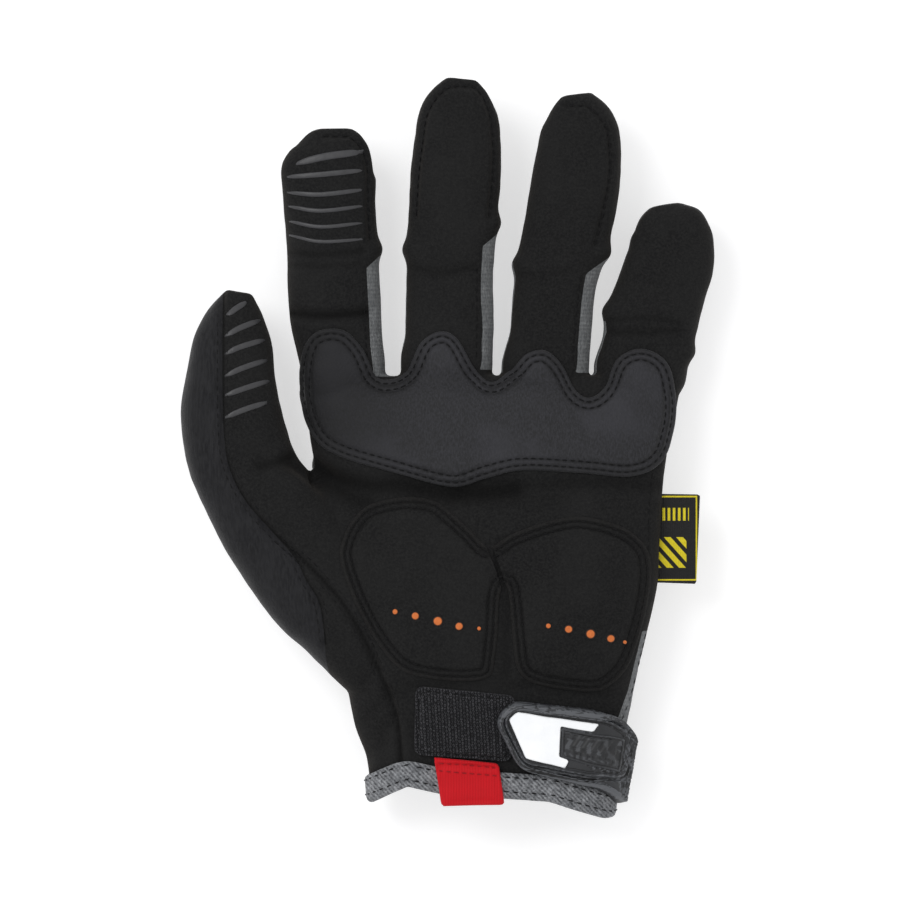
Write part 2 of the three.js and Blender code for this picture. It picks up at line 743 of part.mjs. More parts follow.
// The index finger's back ends in a cap of the palm's material.
const tipCap = { start: 0.6 };
function tipCapSpace(grow) {
  const at = fingerAt("index", tipCap.start);
  const low = { x: at.left - 8, y: at.centre.y - grow, z: -far };
  const high = { x: (at.right + fingerAt("middle", 0.5).left) / 2, y: far, z: far };
  return boxBetween(low, high).intersect(below(-gap / 2 + grow));
}

const panelsGrown = joined([gussetsGrown, thumbSpace(gap), sideStripSpace(gap)]);
piece("palm_panel", skin.intersect(above(gap / 2)).subtract(panelsGrown), colour.suede);
const back = skin.intersect(below(-gap / 2)).subtract(panelsGrown).subtract(tipCapSpace(gap));
piece("back_panel", back, colour.mesh);
piece("index_tip_cap", skin.intersect(tipCapSpace(0)).subtract(gussetsGrown), colour.suede);
piece("thumb_panel", skin.intersect(thumbSpace(0)).subtract(gussetsGrown), colour.stretch);
piece("side_strip", skin.intersect(sideStripSpace(0)), colour.gusset);
forks.forEach(([a, b]) => {
  piece(`gusset_${a}_${b}`, skin.intersect(gussetSpace(a, b, 0)), colour.gusset);
});

// The edge binding folds round the cuff's edge, with one leaf outside the skin and one inside it.
const bindingLayer = layer(-wall - gap - bindingThick, gap + bindingThick);
const bindingRun = pastHem(-gap - bindingThick).subtract(pastHem(bindingBand));
const bindingSlot = layer(-wall - gap, gap).intersect(pastHem(-gap));
piece("cuff_binding", bindingLayer.intersect(bindingRun).subtract(bindingSlot), colour.binding);

// Pads and the loop patch on the palm side.
const palmSide = above(1);
const outlined = (rows, radius, steps = 2) => prism(rounded(rows.map(onPalm), radius, steps));
const onSkin = (thick, low = gap) => layer(low, low + thick);
const knucklePad = prism(smooth(knucklePadOutline.map(onPalm), 38));
piece("knuckle_pad", onSkin(padThick).intersect(knucklePad).intersect(palmSide), colour.armortex);
Object.entries(heelPadOutlines).forEach(([name, rows]) => {
  const outline = prism(smooth(rows.map(onPalm), 20));
  piece(name, onSkin(heelThick).intersect(outline).intersect(palmSide), colour.suede);
});
piece("loop_patch", onSkin(loopThick).intersect(outlined(loopCorners, 5)).intersect(palmSide), colour.loop);

// The strap's free end lies on the loop patch and has a raised rim round two plates.
const strapLow = gap + loopThick + gap;
const strapTop = strapLow + strapThick;
const strapSeam = -2;
const strapOutline = outlined(strapCorners, 5);
const strapWindow = outlined(strapWindowCorners, 3);
const strapSheet = layer(strapLow, strapTop + rimHeight).intersect(strapOutline).intersect(above(strapSeam));
const strapRecess = layer(strapTop, clearHeight).intersect(strapWindow);
piece("closure_strap", strapSheet.subtract(strapRecess), colour.darkGuard);
const plateLayer = layer(strapTop + gap, strapTop + gap + plateThick).intersect(palmSide);
piece("reflector_plate", plateLayer.intersect(outlined(reflectorCorners, 1)), colour.reflector);
piece("strap_badge", plateLayer.intersect(outlined(badgeCorners, 0.8)), colour.darkGuard);

// The pull tab is sewn over the binding, and the tag into the little finger side seam.
const tabLow = gap + bindingThick + gap;
const tabOutline = prism(tabCorners.map(onPalm));
piece("pull_tab", layer(tabLow, tabLow + tabThick).intersect(tabOutline).intersect(palmSide), colour.ribbon);
const tagSheet = prism(tagCorners.map(onPalm)).intersect(slab(-tagThick / 2, tagThick / 2));
piece("side_tag", tagSheet.subtract(hand(gap)), colour.tag);

// A four-cornered outline grown outwards from its middle.
function grownBox(rows, grow) {
  const corners = rows.map(onPalm);
  const centre = corners.reduce((sum, p) => sum.add(p), new THREE.Vector2()).divideScalar(corners.length);
  return corners.map((p) => {
    const way = p.clone().sub(centre);
    return new THREE.Vector2(p.x + Math.sign(way.x) * grow, p.y + Math.sign(way.y) * grow);
  });
}

// The cuff panel on the back, with a pocket for its label.
const backSide = below(-1).intersect(overFloor);
const cuffPanelThick = 2.9;
const pocketDepth = 1.5;
const labelOutline = outlined(labelCorners, 1);
const overBinding = pastHem(bindingBand + gap);
const cuffSheet = onSkin(cuffPanelThick).intersect(outlined(cuffPanelCorners, 4)).intersect(overBinding);
const labelPocket = layer(gap + cuffPanelThick - pocketDepth, clearHeight).intersect(
  prism(grownBox(labelCorners, gap)),
);
const cuffBack = cuffSheet.intersect(below(strapSeam - gap)).intersect(overFloor);
piece("cuff_panel", cuffBack.subtract(labelPocket), colour.darkGuard);
const labelLayer = layer(gap + cuffPanelThick - pocketDepth + gap, gap + cuffPanelThick);
piece("cuff_label", labelLayer.intersect(labelOutline).intersect(backSide), colour.tag);

// A straight bar of some width between two points, as an upright prism.
function bar(from, to, width) {
  const way = to.clone().sub(from).normalize();
  const side = new THREE.Vector2(-way.y, way.x).multiplyScalar(width / 2);
  const corner = (end, sign) => end.clone().addScaledVector(side, sign);
  return prism([corner(from, -1), corner(to, -1), corner(to, 1), corner(from, 1)]);
}

// The knuckle guard: a thin flange, a raised body over three knuckles, and a raised lobe on the
// thumb side, both cut by grooves.
const raisedFoot = gap + guardBase / 2;
const flangeOutline = outlined(guardFlangeCorners, 3, 1);
const flange = onSkin(guardBase).intersect(flangeOutline);
const raisedOutline = outlined(guardMainCorners, 2.5, 1).add(outlined(guardLobeCorners, 3, 1));
const raised = layer(raisedFoot, gap + guardThick).intersect(raisedOutline);
const grooves = joined(
  guardGrooves.map((g) => {
    const from = onPalm({ across: g.fromAcross, along: g.fromAlong });
    return bar(from, onPalm({ across: g.toAcross, along: g.toAlong }), g.width);
  }),
);
const grooveSpace = grooves.intersect(layer(gap + guardThick - grooveDepth, clearHeight));
const knuckleGuard = flange.add(raised).subtract(grooveSpace).intersect(below(-3)).intersect(overFloor);
piece("knuckle_guard", knuckleGuard, colour.guard);

// A strip of a finger's back between two shares of its length, as wide as a share of its width.
function fingerStrip(name, from, to, widthShare, parts) {
  const steps = Array.from({ length: parts + 1 }, (_, k) => from + ((to - from) * k) / parts);
  const edge = (sign) =>
    steps.map((s) => {
      const at = fingerAt(name, s);
      return new THREE.Vector2(at.centre.x + sign * at.half * widthShare, at.centre.y);
    });
  return prism([...edge(-1), ...edge(1).reverse()]);
}

// A rib across a finger, bent to a point towards the tip.
function chevron(name, share, shift) {
  const at = fingerAt(name, share);
  const half = at.half * fingerGuard.ribSpan;
  const y = at.centre.y + shift;
  const side = (sign, dy) => new THREE.Vector2(at.centre.x + sign * half, y + dy);
  const point = (dy) => new THREE.Vector2(at.centre.x, y + fingerGuard.ribPoint + dy);
  const width = fingerGuard.ribWidth;
  return prism([side(-1, 0), point(0), side(1, 0), side(1, width), point(width), side(-1, width)]);
}

fingerGuard.fingers.forEach((name) => {
  const g = fingerGuard;
  const strip = onSkin(guardBase).intersect(fingerStrip(name, g.start, g.end, g.stripWidth, 5));
  const segmentSpace = joined(g.segments.map((s) => fingerStrip(name, s.from, s.to, g.segmentWidth, 1)));
  const ribSpace = joined(
    g.ribClusters.flatMap((share) =>
      Array.from({ length: g.ribs }, (_, k) => chevron(name, share, k * g.ribPitch)),
    ),
  );
  const segments = layer(raisedFoot, gap + g.segmentThick).intersect(segmentSpace);
  const ribs = layer(raisedFoot, gap + g.ribThick).intersect(ribSpace);
  const raisedParts = segments.add(ribs);
  const whole = strip.add(raisedParts).intersect(below(-3)).subtract(flangeOutline);
  piece(`${name}_finger_guard`, whole, colour.guard);
});

// The frame's origin is the middle of the footprint on the floor.
const bounds = new THREE.Box3().setFromObject(glove);
const centre = bounds.getCenter(new THREE.Vector3());
glove.position.set(-centre.x, -centre.y, -bounds.min.z);

export default glove;
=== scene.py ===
"""A left-hand mechanic glove, lying palm up on its armoured back.

Shapes are worked out in the glove's own millimetres: +Y from the cuff to the fingertips, +X from the
thumb to the little finger, +Z out of the palm. Each finished piece is then placed in the frame, in
metres. The skin is lofted, fused and displaced once, and is then cut into its sewn panels. Pads,
straps and guards are patches that are laid on that skin.
"""
import math

import bmesh
import bpy
import numpy as np
from mathutils import Matrix, Vector
from mathutils.bvhtree import BVHTree


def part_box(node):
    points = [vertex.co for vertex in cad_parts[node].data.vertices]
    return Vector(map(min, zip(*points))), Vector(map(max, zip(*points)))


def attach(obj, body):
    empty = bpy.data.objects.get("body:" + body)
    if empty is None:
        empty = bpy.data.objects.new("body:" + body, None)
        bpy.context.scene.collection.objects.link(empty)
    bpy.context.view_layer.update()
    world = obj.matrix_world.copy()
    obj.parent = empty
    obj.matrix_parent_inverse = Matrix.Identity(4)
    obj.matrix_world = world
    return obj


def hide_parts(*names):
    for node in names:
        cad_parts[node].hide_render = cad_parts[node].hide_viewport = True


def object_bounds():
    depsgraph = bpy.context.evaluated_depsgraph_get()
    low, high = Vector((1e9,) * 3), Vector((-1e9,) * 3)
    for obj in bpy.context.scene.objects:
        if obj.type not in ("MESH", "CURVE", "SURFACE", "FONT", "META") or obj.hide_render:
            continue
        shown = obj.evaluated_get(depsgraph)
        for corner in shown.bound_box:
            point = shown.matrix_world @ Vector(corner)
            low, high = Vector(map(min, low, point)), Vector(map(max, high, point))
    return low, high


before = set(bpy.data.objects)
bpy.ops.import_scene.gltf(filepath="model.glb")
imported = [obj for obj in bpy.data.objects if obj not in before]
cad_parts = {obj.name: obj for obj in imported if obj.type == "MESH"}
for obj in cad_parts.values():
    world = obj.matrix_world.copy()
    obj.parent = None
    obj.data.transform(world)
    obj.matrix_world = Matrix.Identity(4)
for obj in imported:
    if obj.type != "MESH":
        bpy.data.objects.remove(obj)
CAD_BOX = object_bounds()
MM = 0.001

# Sizes of the hand in millimetres, the same as the construction model's.
PALM = {"length": 140.0, "width": 124.0, "depth": 34.0}
THUMB = {"length": 125.0, "width": 38.0, "depth": 26.0, "height": 16.0}
FINGERS = {
    "index": {"length": 81.0, "width": 31.0, "depth": 21.5},
    "middle": {"length": 96.0, "width": 30.4, "depth": 22.0},
    "ring": {"length": 91.5, "width": 29.6, "depth": 21.0},
    "little": {"length": 57.5, "width": 29.0, "depth": 19.5},
}
# Where the limbs leave the palm, as shares of its width and length, and their sideways lean.
ROOTS = {
    "index": {"across": -0.385, "along": 1.011, "lean": -0.035},
    "middle": {"across": -0.118, "along": 1.029, "lean": 0.056},
    "ring": {"across": 0.152, "along": 1.021, "lean": 0.092},
    "little": {"across": 0.394, "along": 1.011, "lean": 0.191},
    "thumb": {"across": -0.355, "along": 0.357, "lean": -0.326},
}
CURL = {"knuckles": 1.0, "reach": 100.0, "rise": 10.0}
BACK_HEIGHT = 5.0
FINGER_HEIGHT = 5.7
SQUARENESS = 2.5
THINNEST = 0.4
PALM_SIDES = 96
LIMB_SIDES = 64

# Sections along, left, right, depth, base of the palm, as shares of its length, width and depth. The
# last column is the underside's height as a share of BACK_HEIGHT.
PALM_SECTIONS = [
    (-0.12, -0.315, 0.31, 0.8, 0.5),
    (0.0, -0.326, 0.323, 0.82, 0.5),
    (0.1, -0.34, 0.345, 0.86, 0.5),
    (0.17, -0.368, 0.358, 0.9, 0.5),
    (0.24, -0.384, 0.374, 0.95, 0.56),
    (0.4, -0.41, 0.415, 1.0, 0.75),
    (0.51, -0.435, 0.441, 1.0, 0.9),
    (0.69, -0.468, 0.451, 0.94, 1.0),
    (0.8, -0.482, 0.464, 0.87, 1.0),
    (0.89, -0.494, 0.486, 0.8, 1.0),
    (0.97, -0.5, 0.5, 0.72, 1.0),
    (1.005, -0.495, 0.5, 0.6, 1.0),
]
# Sections along, shift, width, depth of each finger, as shares of its own length, width and depth.
FINGER_SECTIONS = {
    "index": [
        (-0.18, 0.05, 0.6, 0.5),
        (0.0, -0.05, 0.9, 1.08),
        (0.1, -0.085, 0.93, 1.06),
        (0.22, -0.115, 0.98, 1.04),
        (0.6, -0.13, 0.98, 0.98),
        (0.76, -0.145, 1.01, 0.88),
        (0.82, -0.14, 1.02, 0.82),
        (0.86, -0.115, 0.94, 0.78),
        (0.9, -0.09, 0.85, 0.7),
        (0.96, -0.08, 0.66, 0.5),
        (0.985, -0.08, 0.53, 0.36),
        (1.0, -0.08, 0.4, 0.28),
    ],
    "middle": [
        (-0.16, -0.02, 0.6, 0.5),
        (-0.02, -0.03, 1.0, 1.08),
        (0.09, -0.01, 0.97, 1.05),
        (0.3, -0.04, 0.96, 1.02),
        (0.46, -0.046, 0.97, 1.0),
        (0.78, -0.035, 0.94, 0.9),
        (0.89, -0.045, 0.82, 0.74),
        (0.955, -0.035, 0.58, 0.5),
        (0.99, -0.03, 0.34, 0.28),
    ],
    "ring": [
        (-0.16, -0.02, 0.6, 0.5),
        (-0.01, -0.05, 0.98, 1.08),
        (0.1, -0.025, 0.92, 1.05),
        (0.33, -0.02, 0.94, 1.02),
        (0.5, 0.057, 0.98, 0.98),
        (0.79, 0.11, 0.95, 0.9),
        (0.9, 0.085, 0.8, 0.72),
        (0.965, 0.04, 0.54, 0.5),
        (0.995, 0.02, 0.34, 0.28),
    ],
    "little": [
        (-0.26, 0.02, 0.6, 0.5),
        (-0.02, 0.0, 1.05, 1.08),
        (0.14, 0.02, 1.02, 1.05),
        (0.34, 0.03, 1.07, 1.03),
        (0.46, 0.06, 1.04, 1.02),
        (0.68, 0.1, 0.99, 0.97),
        (0.84, 0.03, 0.87, 0.78),
        (0.93, -0.05, 0.6, 0.5),
        (0.97, -0.08, 0.34, 0.28),
    ],
}
# Sections along, bow, width, depth of the thumb.
THUMB_SECTIONS = [
    (-0.16, -0.06, 0.2, 0.3),
    (-0.06, 0.02, 0.5, 0.85),
    (0.02, 0.03, 0.76, 0.95),
    (0.09, 0.04, 0.95, 1.05),
    (0.26, 0.2, 1.05, 1.1),
    (0.42, 0.355, 1.0, 1.06),
    (0.52, 0.425, 0.93, 1.03),
    (0.62, 0.44, 0.92, 1.0),
    (0.8, 0.285, 0.78, 0.92),
    (0.91, 0.13, 0.62, 0.76),
    (0.965, 0.04, 0.42, 0.55),
    (1.0, -0.02, 0.22, 0.3),
]
# The cuff's edge and the outline of each piece, as shares across and along the palm.
HEM = [(-0.5, -0.004), (-0.33, 0.0), (-0.229, 0.041), (-0.132, 0.022), (0.045, 0.011), (0.15, 0.005),
       (0.22, -0.015), (0.3, -0.036), (0.5, -0.01)]
THUMB_SEAM = [(-0.721, 1.3), (-0.721, 1.157), (-0.721, 0.966), (-0.716, 0.834), (-0.697, 0.771),
              (-0.658, 0.706), (-0.587, 0.634), (-0.506, 0.569), (-0.452, 0.52), (-0.4, 0.466),
              (-0.348, 0.391), (-0.31, 0.32), (-0.271, 0.237), (-0.252, 0.174), (-0.242, 0.06)]
KNUCKLE_PAD = [(-0.51, 0.949), (-0.505, 1.06), (-0.47, 1.108), (-0.4, 1.112), (-0.35, 1.07),
               (-0.315, 1.004), (-0.277, 0.991), (-0.229, 1.011), (-0.19, 1.083), (-0.139, 1.109),
               (-0.094, 1.091), (-0.048, 1.02), (-0.003, 0.986), (0.052, 1.017), (0.09, 1.055),
               (0.14, 1.064), (0.185, 1.03), (0.22, 0.97), (0.258, 0.951), (0.3, 0.977),
               (0.335, 1.045), (0.4, 1.068), (0.465, 1.036), (0.486, 0.96), (0.48, 0.877),
               (0.445, 0.797), (0.368, 0.766), (0.235, 0.774), (0.077, 0.78), (-0.016, 0.763),
               (-0.11, 0.743), (-0.245, 0.771), (-0.403, 0.811), (-0.475, 0.857)]
# The quilted heel: one outline with a notch above and a slot below, and the line that parts its two pads.
HEEL_QUILT = [(-0.010, 0.600), (-0.061, 0.640), (-0.106, 0.676), (-0.156, 0.707), (-0.237, 0.716),
              (-0.328, 0.698), (-0.378, 0.658), (-0.403, 0.609), (-0.408, 0.573), (-0.388, 0.511),
              (-0.353, 0.440), (-0.297, 0.359), (-0.237, 0.306), (-0.146, 0.286), (-0.055, 0.283),
              (-0.005, 0.297), (0.006, 0.341), (0.013, 0.403), (0.017, 0.475), (0.027, 0.507),
              (0.039, 0.502), (0.047, 0.449), (0.055, 0.369), (0.065, 0.314), (0.095, 0.283),
              (0.166, 0.266), (0.267, 0.257), (0.316, 0.274), (0.358, 0.314), (0.384, 0.371),
              (0.408, 0.449), (0.421, 0.520), (0.419, 0.571), (0.400, 0.609), (0.348, 0.645),
              (0.267, 0.667), (0.206, 0.670), (0.126, 0.654), (0.045, 0.627)]
HEEL_PARTING = [(-0.02, 0.64), (-0.01, 0.6), (0.027, 0.507), (0.04, 0.4), (0.055, 0.24)]
# The side tag's outer corner, which ties the glove's millimetres to the frame.
TAG_CORNER = (0.555, 0.726)


def shares(points):
    """Points given as shares of the palm, in millimetres."""
    return np.array(points) * (PALM["width"], PALM["length"])


corner = shares([TAG_CORNER])[0]
tag_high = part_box("side_tag")[1]
SHIFT = Vector((tag_high[0] - corner[0] * MM, tag_high[1] - corner[1] * MM, 0))
TO_FRAME = Matrix.Translation(SHIFT) @ Matrix.Scale(MM, 4)


# Curves and distances

def hermite(rows, steps):
    """A table of sections read off at even steps of its first column, on a smooth curve."""
    table = np.array(rows)
    at = table[:, 0]
    slope = np.gradient(table, at, axis=0)
    where = np.linspace(at[0], at[-1], steps)
    i = np.clip(np.searchsorted(at, where, side="right") - 1, 0, len(at) - 2)
    span = (at[i + 1] - at[i])[:, None]
    t = ((where - at[i]) / (at[i + 1] - at[i]))[:, None]
    keep = (2 * t ** 3 - 3 * t ** 2 + 1) * table[i] + (3 * t ** 2 - 2 * t ** 3) * table[i + 1]
    return keep + (t ** 3 - 2 * t ** 2 + t) * span * slope[i] + (t ** 3 - t ** 2) * span * slope[i + 1]


def smooth_path(points, spacing, closed=False):
    """Points about a spacing apart on a smooth curve through the given ones."""
    p = np.array(points, float)
    if closed:
        p = np.vstack([p[-1], p, p[:2]])
    else:
        p = np.vstack([2 * p[0] - p[1], p, 2 * p[-1] - p[-2]])
    found = []
    for a, b, c, d in zip(p, p[1:], p[2:], p[3:]):
        t = np.linspace(0, 1, 24, endpoint=False)[:, None]
        found.append(0.5 * (2 * b + (c - a) * t + (2 * a - 5 * b + 4 * c - d) * t ** 2
                            + (3 * b - a - 3 * c + d) * t ** 3))
    dense = np.vstack(found + ([found[0][:1]] if closed else [p[-2:-1]]))
    return even(dense, spacing, closed)


def even(points, spacing, closed=False):
    """A path read off again at even distances."""
    run = np.concatenate([[0], np.cumsum(np.linalg.norm(np.diff(points, axis=0), axis=1))])
    count = max(int(round(run[-1] / spacing)), 2)
    at = np.linspace(0, run[-1], count + 1)
    if closed:
        at = at[:-1]
    return np.stack([np.interp(at, run, points[:, k]) for k in range(points.shape[1])], axis=1)


def rounded(corners, radius, spacing=1.0):
    """A closed outline of straight sides with rounded corners."""
    p = np.array(corners, float)
    found = []
    for before, here, after in zip(np.roll(p, 1, 0), p, np.roll(p, -1, 0)):
        way_in, way_out = before - here, after - here
        cut = min(radius, np.linalg.norm(way_in) / 2, np.linalg.norm(way_out) / 2)
        start = here + way_in / np.linalg.norm(way_in) * cut
        end = here + way_out / np.linalg.norm(way_out) * cut
        t = np.linspace(0, 1, 9)[:, None]
        found.append((1 - t) ** 2 * start + 2 * t * (1 - t) * here + t ** 2 * end)
    dense = np.vstack(found + [found[0][:1]])
    return even(dense, spacing, closed=True)


def path_distance(xy, path, closed=False):
    """How far each point lies from a path."""
    p = np.vstack([path, path[:1]]) if closed else np.array(path)
    best = np.full(len(xy), 1e18)
    x, y = xy[:, 0], xy[:, 1]
    for a, b in zip(p, p[1:]):
        way = b - a
        u, v = x - a[0], y - a[1]
        t = np.clip((u * way[0] + v * way[1]) / (way @ way), 0, 1)
        u -= t * way[0]
        v -= t * way[1]
        np.minimum(best, u * u + v * v, out=best)
    return np.sqrt(best)


def near_path(xy, path, reach):
    """The distance from a path for points that may lie within reach of it, and reach for the rest."""
    low, high = np.min(path, axis=0) - reach, np.max(path, axis=0) + reach
    found = np.full(len(xy), float(reach))
    close = np.all((xy > low) & (xy < high), axis=1)
    found[close] = np.minimum(path_distance(xy[close], path), reach)
    return found


def inside(xy, outline):
    """Which points lie within a closed outline."""
    x, y = xy[:, 0], xy[:, 1]
    found = np.zeros(len(xy), bool)
    for a, b in zip(outline, np.roll(outline, -1, 0)):
        crosses = (a[1] > y) != (b[1] > y)
        with np.errstate(divide="ignore", invalid="ignore"):
            at = a[0] + (y - a[1]) / (b[1] - a[1]) * (b[0] - a[0])
        found ^= crosses & (x < at)
    return found


def signed(xy, outline):
    """Distance inside a closed outline, negative outside it."""
    d = path_distance(xy, outline, closed=True)
    return np.where(inside(xy, outline), d, -d)


def ramp(value, low, high):
    """From 0 at low to 1 at high, eased at both ends."""
    t = np.clip((value - low) / (high - low), 0, 1)
    return t * t * (3 - 2 * t)


def bump(distance, width):
    """A soft ridge, 1 at its middle and gone past its width."""
    return np.exp(-(distance / (width * 0.5)) ** 2)


def inward(xy, outline):
    """How far inside a closed outline each point lies, 0 outside it."""
    return np.maximum(signed(xy, outline), 0)


def on_plane(xy):
    """Places on the flat, at height 0."""
    return np.column_stack([xy, np.zeros(len(xy))])


def headings(path):
    """The direction of a path at each of its points."""
    way = np.gradient(path, axis=0)
    return way / np.linalg.norm(way, axis=1)[:, None]


def beside(path, distance):
    """A path moved sideways, to its left."""
    way = headings(path)
    return path + np.column_stack([-way[:, 1], way[:, 0]]) * distance


def lump_field(xyz, size, seed):
    """Soft unevenness between -1 and 1, from a few crossing waves."""
    pick = np.random.default_rng(seed)
    total = np.zeros(len(xyz))
    for _ in range(7):
        way = pick.normal(size=3)
        way /= np.linalg.norm(way)
        total += np.sin(xyz @ way * (2 * math.pi / size * pick.uniform(0.6, 1.5)) + pick.uniform(0, 6.28))
    return total / 7


# The hand form

def lift(y):
    """How far the curled fingers have risen at heights y."""
    return CURL["rise"] * (np.maximum(y - CURL["knuckles"] * PALM["length"], 0) / CURL["reach"]) ** 2


def boxy(wave):
    """A sine or cosine pushed outwards, which turns a circle into a rounded box."""
    return np.sign(wave) * np.abs(wave) ** (2 / SQUARENESS)


def ring(centre, across, half_width, half_depth, sides):
    """A rounded-box outline square to the XY plane, round a centre."""
    turn = 2 * math.pi * (np.arange(sides) + 0.5) / sides
    side = half_width * boxy(np.cos(turn))
    up = half_depth * boxy(np.sin(turn))
    return np.stack([centre[0] + across[0] * side, centre[1] + across[1] * side, centre[2] + up], axis=1)


def loft(rings, closed=False):
    """A closed skin through rings, by pulling one ring's edges on to the next."""
    bm = bmesh.new()
    place = bm.verts.layers.int.new("place")
    bmesh.ops.create_circle(bm, cap_ends=not closed, segments=len(rings[0]), radius=1)
    bm.verts.ensure_lookup_table()
    for k, v in enumerate(bm.verts):
        v[place] = k
        v.co = rings[0][k]
    edges = first = bm.edges[:]
    for points in rings[1:]:
        out = bmesh.ops.extrude_edge_only(bm, edges=edges)["geom"]
        edges = [e for e in out if isinstance(e, bmesh.types.BMEdge)]
        for v in (g for g in out if isinstance(g, bmesh.types.BMVert)):
            v.co = points[v[place]]
    if closed:
        bmesh.ops.bridge_loops(bm, edges=first + edges)
    else:
        bmesh.ops.contextual_create(bm, geom=edges)
    bmesh.ops.recalc_face_normals(bm, faces=bm.faces)
    return bm


def palm_rings():
    """The palm's sections from the cuff to the fingers."""
    rings = []
    for along, left, right, depth, base in hermite(PALM_SECTIONS, 60):
        half_depth = depth * PALM["depth"] / 2
        centre = ((left + right) * PALM["width"] / 2, along * PALM["length"], base * BACK_HEIGHT + half_depth)
        rings.append(ring(centre, (1, 0), (right - left) * PALM["width"] / 2, half_depth, PALM_SIDES))
    return rings


def limb_rings(centres, halves):
    """Sections square to a middle line, from half widths and half depths."""
    ahead = np.gradient(centres[:, :2], axis=0)
    ahead /= np.linalg.norm(ahead, axis=1)[:, None]
    return [ring(c, (a[1], -a[0]), max(w, THINNEST), max(d, THINNEST), LIMB_SIDES)
            for c, a, (w, d) in zip(centres, ahead, halves)]


def up_finger(name, share):
    """The place along the glove of a share of a finger's length."""
    return ROOTS[name]["along"] * PALM["length"] + share * FINGERS[name]["length"]


def finger_centres(name, rows):
    """A finger's middle line, from its rows of sections."""
    f, root = FINGERS[name], ROOTS[name]
    y = up_finger(name, rows[:, 0])
    x = root["across"] * PALM["width"] + rows[:, 0] * root["lean"] * f["length"] + rows[:, 1] * f["width"]
    return np.stack([x, y, FINGER_HEIGHT + f["depth"] / 2 + lift(y)], axis=1)


def finger_rings(name):
    f = FINGERS[name]
    rows = hermite(FINGER_SECTIONS[name], 70)
    return limb_rings(finger_centres(name, rows), rows[:, 2:] * (f["width"] / 2, f["depth"] / 2))


def thumb_rings():
    rows = hermite(THUMB_SECTIONS, 80)
    root = ROOTS["thumb"]
    ahead = np.array([root["lean"], math.sqrt(1 - root["lean"] ** 2)])
    base = shares([(root["across"], root["along"])])[0]
    along = rows[:, :1] * THUMB["length"]
    bow = rows[:, 1:2] * THUMB["width"]
    xy = base + ahead * along + np.array([-ahead[1], ahead[0]]) * bow
    centres = np.column_stack([xy, np.full(len(rows), BACK_HEIGHT + THUMB["height"])])
    return limb_rings(centres, rows[:, 2:] * (THUMB["width"] / 2, THUMB["depth"] / 2))


def finger_edge(name, along):
    """The centre and half width of a finger at shares of its length."""
    rows = hermite(FINGER_SECTIONS[name], 200)
    at = np.array(along, float)
    picked = np.stack([np.interp(at, rows[:, 0], rows[:, k]) for k in range(4)], axis=-1).reshape(-1, 4)
    return finger_centres(name, picked), picked[:, 2] * FINGERS[name]["width"] / 2


def as_object(bm, name):
    mesh = bpy.data.meshes.new(name)
    bm.to_mesh(mesh)
    bm.free()
    made = bpy.data.objects.new(name, mesh)
    bpy.context.scene.collection.objects.link(made)
    return made


def applied(made):
    """The object's mesh with its modifiers worked in; the object is removed."""
    graph = bpy.context.evaluated_depsgraph_get()
    mesh = bpy.data.meshes.new_from_object(made.evaluated_get(graph))
    old = made.data
    bpy.data.objects.remove(made)
    bpy.data.meshes.remove(old)
    return mesh


def fused_hand(voxel):
    """Palm, fingers and thumb fused into one smooth closed skin."""
    whole = bmesh.new()
    for rings in [palm_rings(), thumb_rings()] + [finger_rings(name) for name in FINGERS]:
        limb = loft(rings)
        mesh = bpy.data.meshes.new("limb")
        limb.to_mesh(mesh)
        limb.free()
        whole.from_mesh(mesh)
        bpy.data.meshes.remove(mesh)
    made = as_object(whole, "hand_form")
    remesh = made.modifiers.new("voxels", "REMESH")
    remesh.mode = "VOXEL"
    remesh.voxel_size = voxel
    soft = made.modifiers.new("soften", "SMOOTH")
    soft.factor = 0.5
    soft.iterations = 8
    return applied(made)


# Seams, folds and the panels that they part

PALM_ROWS = hermite(PALM_SECTIONS, 200)


def palm_edges(y):
    """Left and right outline of the palm at heights y."""
    rows = PALM_ROWS
    at = rows[:, 0] * PALM["length"]
    return np.interp(y, at, rows[:, 1]) * PALM["width"], np.interp(y, at, rows[:, 2]) * PALM["width"]


def seam_height(y):
    """Height of the side seams, half-way up the palm and then half-way up the fingers."""
    rows = PALM_ROWS[:170]
    at = rows[:, 0] * PALM["length"]
    low = rows[:, 4] * BACK_HEIGHT + rows[:, 3] * PALM["depth"] / 2
    finger = FINGER_HEIGHT + FINGERS["middle"]["depth"] / 2 + lift(y)
    blend = ramp(y, at[-1], PALM["length"] * 1.06)
    return np.interp(y, at, low) * (1 - blend) + finger * blend


def finger_sides(name, y):
    """Left and right outline of a finger at heights y."""
    centres, half = finger_edge(name, np.linspace(-0.2, 1.0, 120))
    x, at = centres[:, 0], centres[:, 1]
    return np.interp(y, at, x - half), np.interp(y, at, x + half)


FORKS = [("index", "middle"), ("middle", "ring"), ("ring", "little")]
# The grey strips: start is a share of a finger's length, slant is a slope, the rest are millimetres.
GUSSET = {"start": -0.015, "inset": 4.2, "second_inset": 1.2, "overlap": 0.5, "below": 9.0, "above": 9.0,
          "second_above": 3.0, "slant": 0.9}
GUSSET_ENDS = {"index": 0.475, "middle": 0.45, "ring": 0.385, "little": 0.3}


